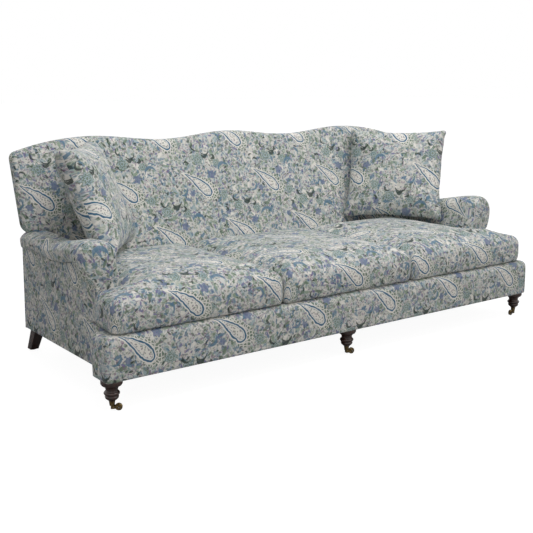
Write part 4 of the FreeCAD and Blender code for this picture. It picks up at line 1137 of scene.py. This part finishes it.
# Jute webbing, threads 2 mm apart.
jute = woven("juteWebbing", "jute", "juteDark", 0.9, 0.002, 0.1)
# Cotton decking cloth, threads 1 mm apart, drawn 2 mm so that they show.
decking = woven("cottonDecking", "decking", "jute", 0.9, 0.002, 0.15)
# Black cambric under the seat: matt, with a faint fleck every 3 mm.
cambric = woven("blackCambric", "black", "nylon", 0.95, 0.003, 0.05)

finishOf = {
    "front_rail": beechRails, "rear_rail": beechRails, "side_rail": beechRails, "cross_rails": beechRails,
    "corner_blocks": beechPosts, "back_posts": beechPosts, "back_lower_rails": beechRails,
    "back_top_rail": beechRails, "arm_post": beechPosts, "arm_rail": beechRails, "leg_front": stainedBeech,
    "leg_rear": stainedBeech, "leg_bolts": zincSteel, "leg_plates": zincSteel, "rear_glides": nylon,
    "caster_pin": zincSteel, "caster": agedBrass, "seat_webbing": jute, "back_webbing": jute,
}
for name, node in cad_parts.items():
    for start, material in finishOf.items():
        if name.startswith(start):
            node.data.materials.clear()
            node.data.materials.append(material)
            break
print("finishes on", len(finishOf), "kinds of piece")

# Turned front legs: one profile, carried round by a node tree, with a beaded cap under the base.
legTurning = {
    "sides": 72, "setback": 0.044, "inset": 0.042,
    # radius and height in metres, from the top edge down
    "profile": [
        (0.0, 0.1199), (0.0395, 0.1199), (0.0415, 0.1190), (0.0419, 0.1170), (0.0419, 0.1080), (0.0415,
                                                                                                0.1062),
        (0.0398, 0.1050), (0.0385, 0.1040), (0.0388, 0.1026), (0.0378, 0.1008), (0.0340, 0.0990), (0.0300,
                                                                                                   0.0965),
        (0.0268, 0.0930), (0.0246, 0.0890), (0.0234, 0.0850), (0.0229, 0.0812), (0.0231, 0.0798), (0.0245,
                                                                                                   0.0794),
        (0.0252, 0.0784), (0.0248, 0.0775), (0.0258, 0.0768), (0.0288, 0.0748), (0.0304, 0.0722), (0.0308,
                                                                                                   0.0695),
        (0.0300, 0.0665), (0.0278, 0.0637), (0.0248, 0.0618), (0.0236, 0.0610), (0.0240, 0.0598), (0.0258,
                                                                                                   0.0585),
        (0.0268, 0.0566), (0.0264, 0.0546), (0.0252, 0.0530), (0.0251, 0.0505), (0.0240, 0.0488), (0.0205,
                                                                                                   0.0458),
        (0.0172, 0.0430), (0.0145, 0.0405), (0.0124, 0.0388), (0.0120, 0.0380), (0.0, 0.0380),
    ],
}


def turningTree():
    # Carries a profile line round the upright axis and closes it.
    tree, given, result = newGroup(
        "turning", "GeometryNodeTree",
        [("Profile", "NodeSocketGeometry", None), ("Sides", "NodeSocketInt", 72),
         ("Across", "NodeSocketFloat", 0.0), ("Back", "NodeSocketFloat", 0.0),
         ("Finish", "NodeSocketMaterial", None)],
        [("Turned", "NodeSocketGeometry")])
    rows = addNode(tree, "GeometryNodeAttributeDomainSize", {"Geometry": given["Profile"]}).outputs[0]
    columns = addNode(tree, "ShaderNodeMath", {0: given["Sides"], 1: 1.0}, operation="ADD").outputs[0]
    grid = addNode(tree, "GeometryNodeMeshGrid", {"Vertices X": columns, "Vertices Y": rows}).outputs[0]
    # each column of the grid is the profile again, turned one step further
    count = addNode(tree, "GeometryNodeInputIndex").outputs[0]
    column = addNode(tree, "ShaderNodeMath", {0: count, 1: rows}, operation="DIVIDE").outputs[0]
    column = addNode(tree, "ShaderNodeMath", {0: column}, operation="FLOOR").outputs[0]
    row = addNode(tree, "ShaderNodeMath", {0: count, 1: rows}, operation="MODULO").outputs[0]
    spot = addNode(tree, "GeometryNodeSampleIndex", data_type="FLOAT_VECTOR")
    tree.links.new(given["Profile"], spot.inputs["Geometry"])
    tree.links.new(addNode(tree, "GeometryNodeInputPosition").outputs[0], spot.inputs["Value"])
    tree.links.new(row, spot.inputs["Index"])
    split = addNode(tree, "ShaderNodeSeparateXYZ", {0: spot.outputs[0]}).outputs
    step = addNode(tree, "ShaderNodeMath", {0: 2 * math.pi, 1: given["Sides"]}, operation="DIVIDE").outputs[0]
    angle = addNode(tree, "ShaderNodeMath", {0: column, 1: step}, operation="MULTIPLY").outputs[0]
    cosine = addNode(tree, "ShaderNodeMath", {0: angle}, operation="COSINE").outputs[0]
    sine = addNode(tree, "ShaderNodeMath", {0: angle}, operation="SINE").outputs[0]
    x = addNode(tree, "ShaderNodeMath", {0: split[0], 1: cosine, 2: given["Across"]},
                operation="MULTIPLY_ADD").outputs[0]
    y = addNode(tree, "ShaderNodeMath", {0: split[0], 1: sine, 2: given["Back"]},
                operation="MULTIPLY_ADD").outputs[0]
    spot = addNode(tree, "ShaderNodeCombineXYZ", {0: x, 1: y, 2: split[1]}).outputs[0]
    moved = addNode(tree, "GeometryNodeSetPosition", {"Geometry": grid, "Position": spot}).outputs[0]
    merged = addNode(tree, "GeometryNodeMergeByDistance", {"Geometry": moved, "Distance": 0.00002}).outputs[0]
    smooth = addNode(tree, "GeometryNodeSetShadeSmooth", {"Geometry": merged}).outputs[0]
    real = addNode(tree, "GeometryNodeRealizeInstances", {"Geometry": smooth}).outputs[0]
    dressed = addNode(tree, "GeometryNodeSetMaterial", {"Geometry": real,
                                                        "Material": given["Finish"]}).outputs[0]
    tree.links.new(dressed, result[0])
    return tree


def fromNodes(name, mesh, tree, values):
    # Runs a node tree on a mesh and keeps the plain result.
    holder = bpy.data.objects.new(name + "Source", mesh)
    bpy.context.collection.objects.link(holder)
    modifier = holder.modifiers.new("shape", "NODES")
    modifier.node_group = tree
    sockets = {item.name: item.identifier for item in tree.interface.items_tree if item.in_out == "INPUT"}
    for title, value in values.items():
        modifier[sockets[title]] = value
    graph = bpy.context.evaluated_depsgraph_get()
    made = bpy.data.meshes.new_from_object(holder.evaluated_get(graph))
    holder.modifiers.clear()
    bpy.data.objects.remove(holder)
    made.name = name
    piece = bpy.data.objects.new(name, made)
    bpy.context.collection.objects.link(piece)
    return piece


def outwardFaces(piece):
    shell = bmesh.new()
    shell.from_mesh(piece.data)
    bmesh.ops.recalc_face_normals(shell, faces=shell.faces)
    shell.to_mesh(piece.data)
    shell.free()


turning = turningTree()
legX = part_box("front_border")[1][0] - legTurning["inset"]
profileMesh = bpy.data.meshes.new("legProfile")
points = legTurning["profile"]
profileMesh.from_pydata([(radius, z, 0.0) for radius, z in points],
                        [(place, place + 1) for place in range(len(points) - 1)], [])
for side, across in (("Left", -legX), ("Centre", 0.0), ("Right", legX)):
    leg = fromNodes("frontLeg" + side, profileMesh.copy(), turning,
                    {"Sides": legTurning["sides"], "Across": across, "Back": frontY + legTurning["setback"],
                     "Finish": stainedBeech})
    outwardFaces(leg)
    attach(leg, "frame")
    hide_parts("leg_front_" + side.lower())
print("front legs turned")

# Seat deck: decking cloth over the platform; the cushions hide it at rest.
deck = {"inner": 1.0277, "half": 1.1497, "front": 0.1425, "ear": 0.2215, "rear": 0.787, "low": 0.2664,
        "top": 0.2918, "round": 0.005}


def deckPatches():
    d = deck
    corners = [(-d["half"], d["front"]), (d["half"], d["front"]), (d["half"], d["ear"]),
               (d["inner"], d["ear"]),
               (d["inner"], d["rear"]), (-d["inner"], d["rear"]), (-d["inner"], d["ear"]), (-d["half"],
                                                                                            d["ear"])]
    loop = roundedOutline(corners, [0.0] * 8, 0.04)
    normal = outward(loop)
    rows, cloth = [], []
    for inset, z in ((0.0, d["low"]), (0.0, d["top"] - d["round"]), (0.0015, d["top"] - 0.0015),
                     (d["round"], d["top"])):
        flat = loop - normal * inset
        rows.append(np.stack([flat[:, 0], flat[:, 1] + frontY, np.full(len(flat), z)], 1))
        cloth.append(np.vstack([flat, flat[:1]]))

    def level(z):
        return lambda flat, depth: (np.stack([flat[:, 0], flat[:, 1] + frontY, np.full(len(flat), z)], 1),
                                    flat)

    return [band(rows, cloth), cap(loop - normal * d["round"], 0.05, level(d["top"])),
            cap(loop, 0.08, level(d["low"]), flip=True)]


seatDeck = sew("seatDeck", deckPatches(), decking)
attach(seatDeck, "frame")
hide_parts("seat_deck")

# Black cambric stapled under the rails, sagging a little between them.
under = {"half": 1.148, "front": 0.037, "rear": 0.895, "level": 0.1218, "sag": 0.004, "across": 96,
         "deep": 36}


def cambricSheet():
    u = under
    xs = np.linspace(-u["half"], u["half"], u["across"] + 1)
    ys = np.linspace(u["front"], u["rear"], u["deep"] + 1)
    points = []
    for y in ys:
        for x in xs:
            along = (y - u["front"]) / (u["rear"] - u["front"])
            bow = (1 - abs(x / u["half"]) ** 6) * math.sin(math.pi * along)
            points.append((x, y + frontY, u["level"] - u["sag"] * bow))
    wide = u["across"] + 1
    faces = [(r * wide + c, (r + 1) * wide + c, (r + 1) * wide + c + 1, r * wide + c + 1)
             for r in range(u["deep"]) for c in range(u["across"])]
    mesh = bpy.data.meshes.new("dustCover")
    mesh.from_pydata(points, [], faces)
    mesh.materials.append(cambric)
    for face in mesh.polygons:
        face.use_smooth = True
    piece = bpy.data.objects.new("dustCover", mesh)
    bpy.context.collection.objects.link(piece)
    return piece


dustCover = cambricSheet()
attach(dustCover, "frame")
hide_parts("dust_cover")

# Staples along the edge of the cambric, one every 40 mm; only their crowns show.
staple = {"every": 0.040, "crown": 0.010, "wire": 0.0011, "inset": 0.012, "below": 0.0012, "seed": 7,
          "frontEnd": 0.07, "end": 0.08}


def stapleTree():
    tree, given, result = newGroup(
        "staples", "GeometryNodeTree",
        [("Line", "NodeSocketGeometry", None), ("Every", "NodeSocketFloat", 0.04),
         ("Crown", "NodeSocketFloat", 0.01), ("Wire", "NodeSocketFloat", 0.0011),
         ("Seed", "NodeSocketInt", 7), ("Finish", "NodeSocketMaterial", None)],
        [("Staples", "NodeSocketGeometry")])
    path = addNode(tree, "GeometryNodeMeshToCurve", {"Mesh": given["Line"]}).outputs[0]
    spots = addNode(tree, "GeometryNodeCurveToPoints", {"Curve": path, "Length": given["Every"]},
                    mode="LENGTH")
    size = addNode(tree, "ShaderNodeCombineXYZ", {0: given["Crown"], 1: given["Wire"],
                                                  2: given["Wire"]}).outputs[0]
    bar = addNode(tree, "GeometryNodeMeshCube", {"Size": size}).outputs[0]
    # the crown lies across the line, with a small random turn
    turn = addNode(tree, "FunctionNodeRandomValue", {
        "Min": (0.0, 0.0, -0.2), "Max": (0.0, 0.0, 0.2), "Seed": given["Seed"]},
                   data_type="FLOAT_VECTOR").outputs[0]
    split = addNode(tree, "ShaderNodeSeparateXYZ", {0: spots.outputs["Tangent"]}).outputs
    angle = addNode(tree, "ShaderNodeMath", {0: split[1], 1: split[0]}, operation="ARCTAN2").outputs[0]
    flat = addNode(tree, "ShaderNodeCombineXYZ", {2: angle}).outputs[0]
    spun = addNode(tree, "ShaderNodeVectorMath", {0: flat, 1: turn}, operation="ADD").outputs[0]
    nodes = addNode(tree, "GeometryNodeInstanceOnPoints", {"Points": spots.outputs["Points"], "Instance": bar,
                                                           "Rotation": spun}).outputs[0]
    real = addNode(tree, "GeometryNodeRealizeInstances", {"Geometry": nodes}).outputs[0]
    dressed = addNode(tree, "GeometryNodeSetMaterial", {"Geometry": real,
                                                        "Material": given["Finish"]}).outputs[0]
    tree.links.new(dressed, result[0])
    return tree


edge = bpy.data.meshes.new("stapleLine")
half = under["half"] - staple["inset"]
near, far = under["front"] + staple["inset"] + frontY, under["rear"] - staple["inset"] + frontY
low, end, frontEnd = under["level"] - staple["below"], staple["end"], staple["frontEnd"]
edge.from_pydata([(-half + frontEnd, near, low), (half - frontEnd, near, low), (half, near + end, low),
                  (half, far - end, low), (half - end, far, low), (-half + end, far, low),
                  (-half, far - end, low), (-half, near + end, low)], [(0, 1), (2, 3), (4, 5), (6, 7)], [])
staples = fromNodes("staples", edge, stapleTree(), {
    "Every": staple["every"], "Crown": staple["crown"], "Wire": staple["wire"], "Seed": staple["seed"],
    "Finish": zincSteel})
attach(staples, "frame")
print("under parts done")

# Room: pale floor that keeps the shadow, a white world to the camera, soft lamps.
light = {
    "floorGlow": 0.6, "floorWhite": 1.58, "world": 0.38, "floor": "#a8a8a8", "floorHalf": 40,
    # place, aim, width and depth in metres, watts, colour
    "lamps": {
        "topLamp": ((0.2, -0.9, 3.6), (0.0, -0.1, 0.4), (3.6, 2.0), 74.0, (0.96, 0.98, 1.0)),
        "keyLamp": ((1.6, -3.6, 2.9), (0.1, -0.1, 0.5), (2.6, 2.0), 30.0, (1.0, 0.985, 0.96)),
        "fillLamp": ((-3.2, -3.0, 1.8), (0, 0, 0.4), (2.4, 2.0), 12.5, (0.97, 0.98, 1.0)),
        "rearLamp": ((0.5, 3.4, 2.8), (0, 0, 0.4), (3.0, 2.0), 10.0, (1, 1, 1)),
    },
}


def room():
    mesh = bpy.data.meshes.new("floor")
    far = light["floorHalf"]
    mesh.from_pydata([(-far, -far, 0), (far, -far, 0), (far, far, 0), (-far, far, 0)], [], [(0, 1, 2, 3)])
    floor = bpy.data.objects.new("floor", mesh)
    bpy.context.collection.objects.link(floor)
    material, tree, shader = surface("paleFloor", light["floor"], Roughness=0.9)
    path = addNode(tree, "ShaderNodeLightPath").outputs
    glow = addNode(tree, "ShaderNodeEmission", {"Strength": light["floorWhite"]}).outputs[0]
    # to the camera the floor is near white and keeps a part of the sofa's shadow
    seen = addNode(tree, "ShaderNodeMath", {0: path["Is Camera Ray"], 1: light["floorGlow"]},
                   operation="MULTIPLY")
    seen = addNode(tree, "ShaderNodeMixShader", {0: seen.outputs[0], 1: shader.outputs[0], 2: glow})
    tree.links.new(seen.outputs[0], tree.nodes["Material Output"].inputs[0])
    mesh.materials.append(material)
    world = bpy.data.worlds.new("studio")
    world.use_nodes = True
    tree = world.node_tree
    path = addNode(tree, "ShaderNodeLightPath").outputs
    seen = addNode(tree, "ShaderNodeMath", {0: path["Is Camera Ray"], 1: path["Is Glossy Ray"]},
                   operation="MAXIMUM").outputs[0]
    power = addNode(tree, "ShaderNodeMapRange", {"Value": seen, "To Min": light["world"],
                                                 "To Max": 1.0}).outputs[0]
    sky = tree.nodes["Background"]
    sky.inputs[0].default_value = (1, 1, 1, 1)
    tree.links.new(power, sky.inputs[1])
    bpy.context.scene.world = world


def lamp(name, place, aim, size, power, color):
    made = bpy.data.lights.new(name, "AREA")
    made.energy, made.color = power, color
    made.shape, made.size, made.size_y = "RECTANGLE", size[0], size[1]
    holder = bpy.data.objects.new(name, made)
    holder.location = place
    holder.rotation_euler = (Vector(aim) - Vector(place)).to_track_quat("-Z", "Y").to_euler()
    bpy.context.collection.objects.link(holder)


room()
for name, values in light["lamps"].items():
    lamp(name, *values)

# Camera: placed from the photograph's own perspective.
view = {"place": (-2.652, -2.916, 1.239), "yaw": 0.639, "pitch": 8.5, "focalPixels": 901.31,
        "middleRow": 213.13, "frame": 533.0, "sensor": 36.0}
lens = bpy.data.cameras.new("photoCamera")
lens.sensor_width = view["sensor"]
lens.lens = view["focalPixels"] * view["sensor"] / view["frame"]
lens.shift_y = (view["middleRow"] - view["frame"] / 2) / view["frame"]
camera = bpy.data.objects.new("photoCamera", lens)
camera.location = (view["place"][0], view["place"][1] + frontY, view["place"][2])
camera.rotation_euler = (math.pi / 2 - math.radians(view["pitch"]), 0.0, -view["yaw"])
bpy.context.collection.objects.link(camera)
scene = bpy.context.scene
scene.camera = camera
scene.view_settings.view_transform = "Standard"
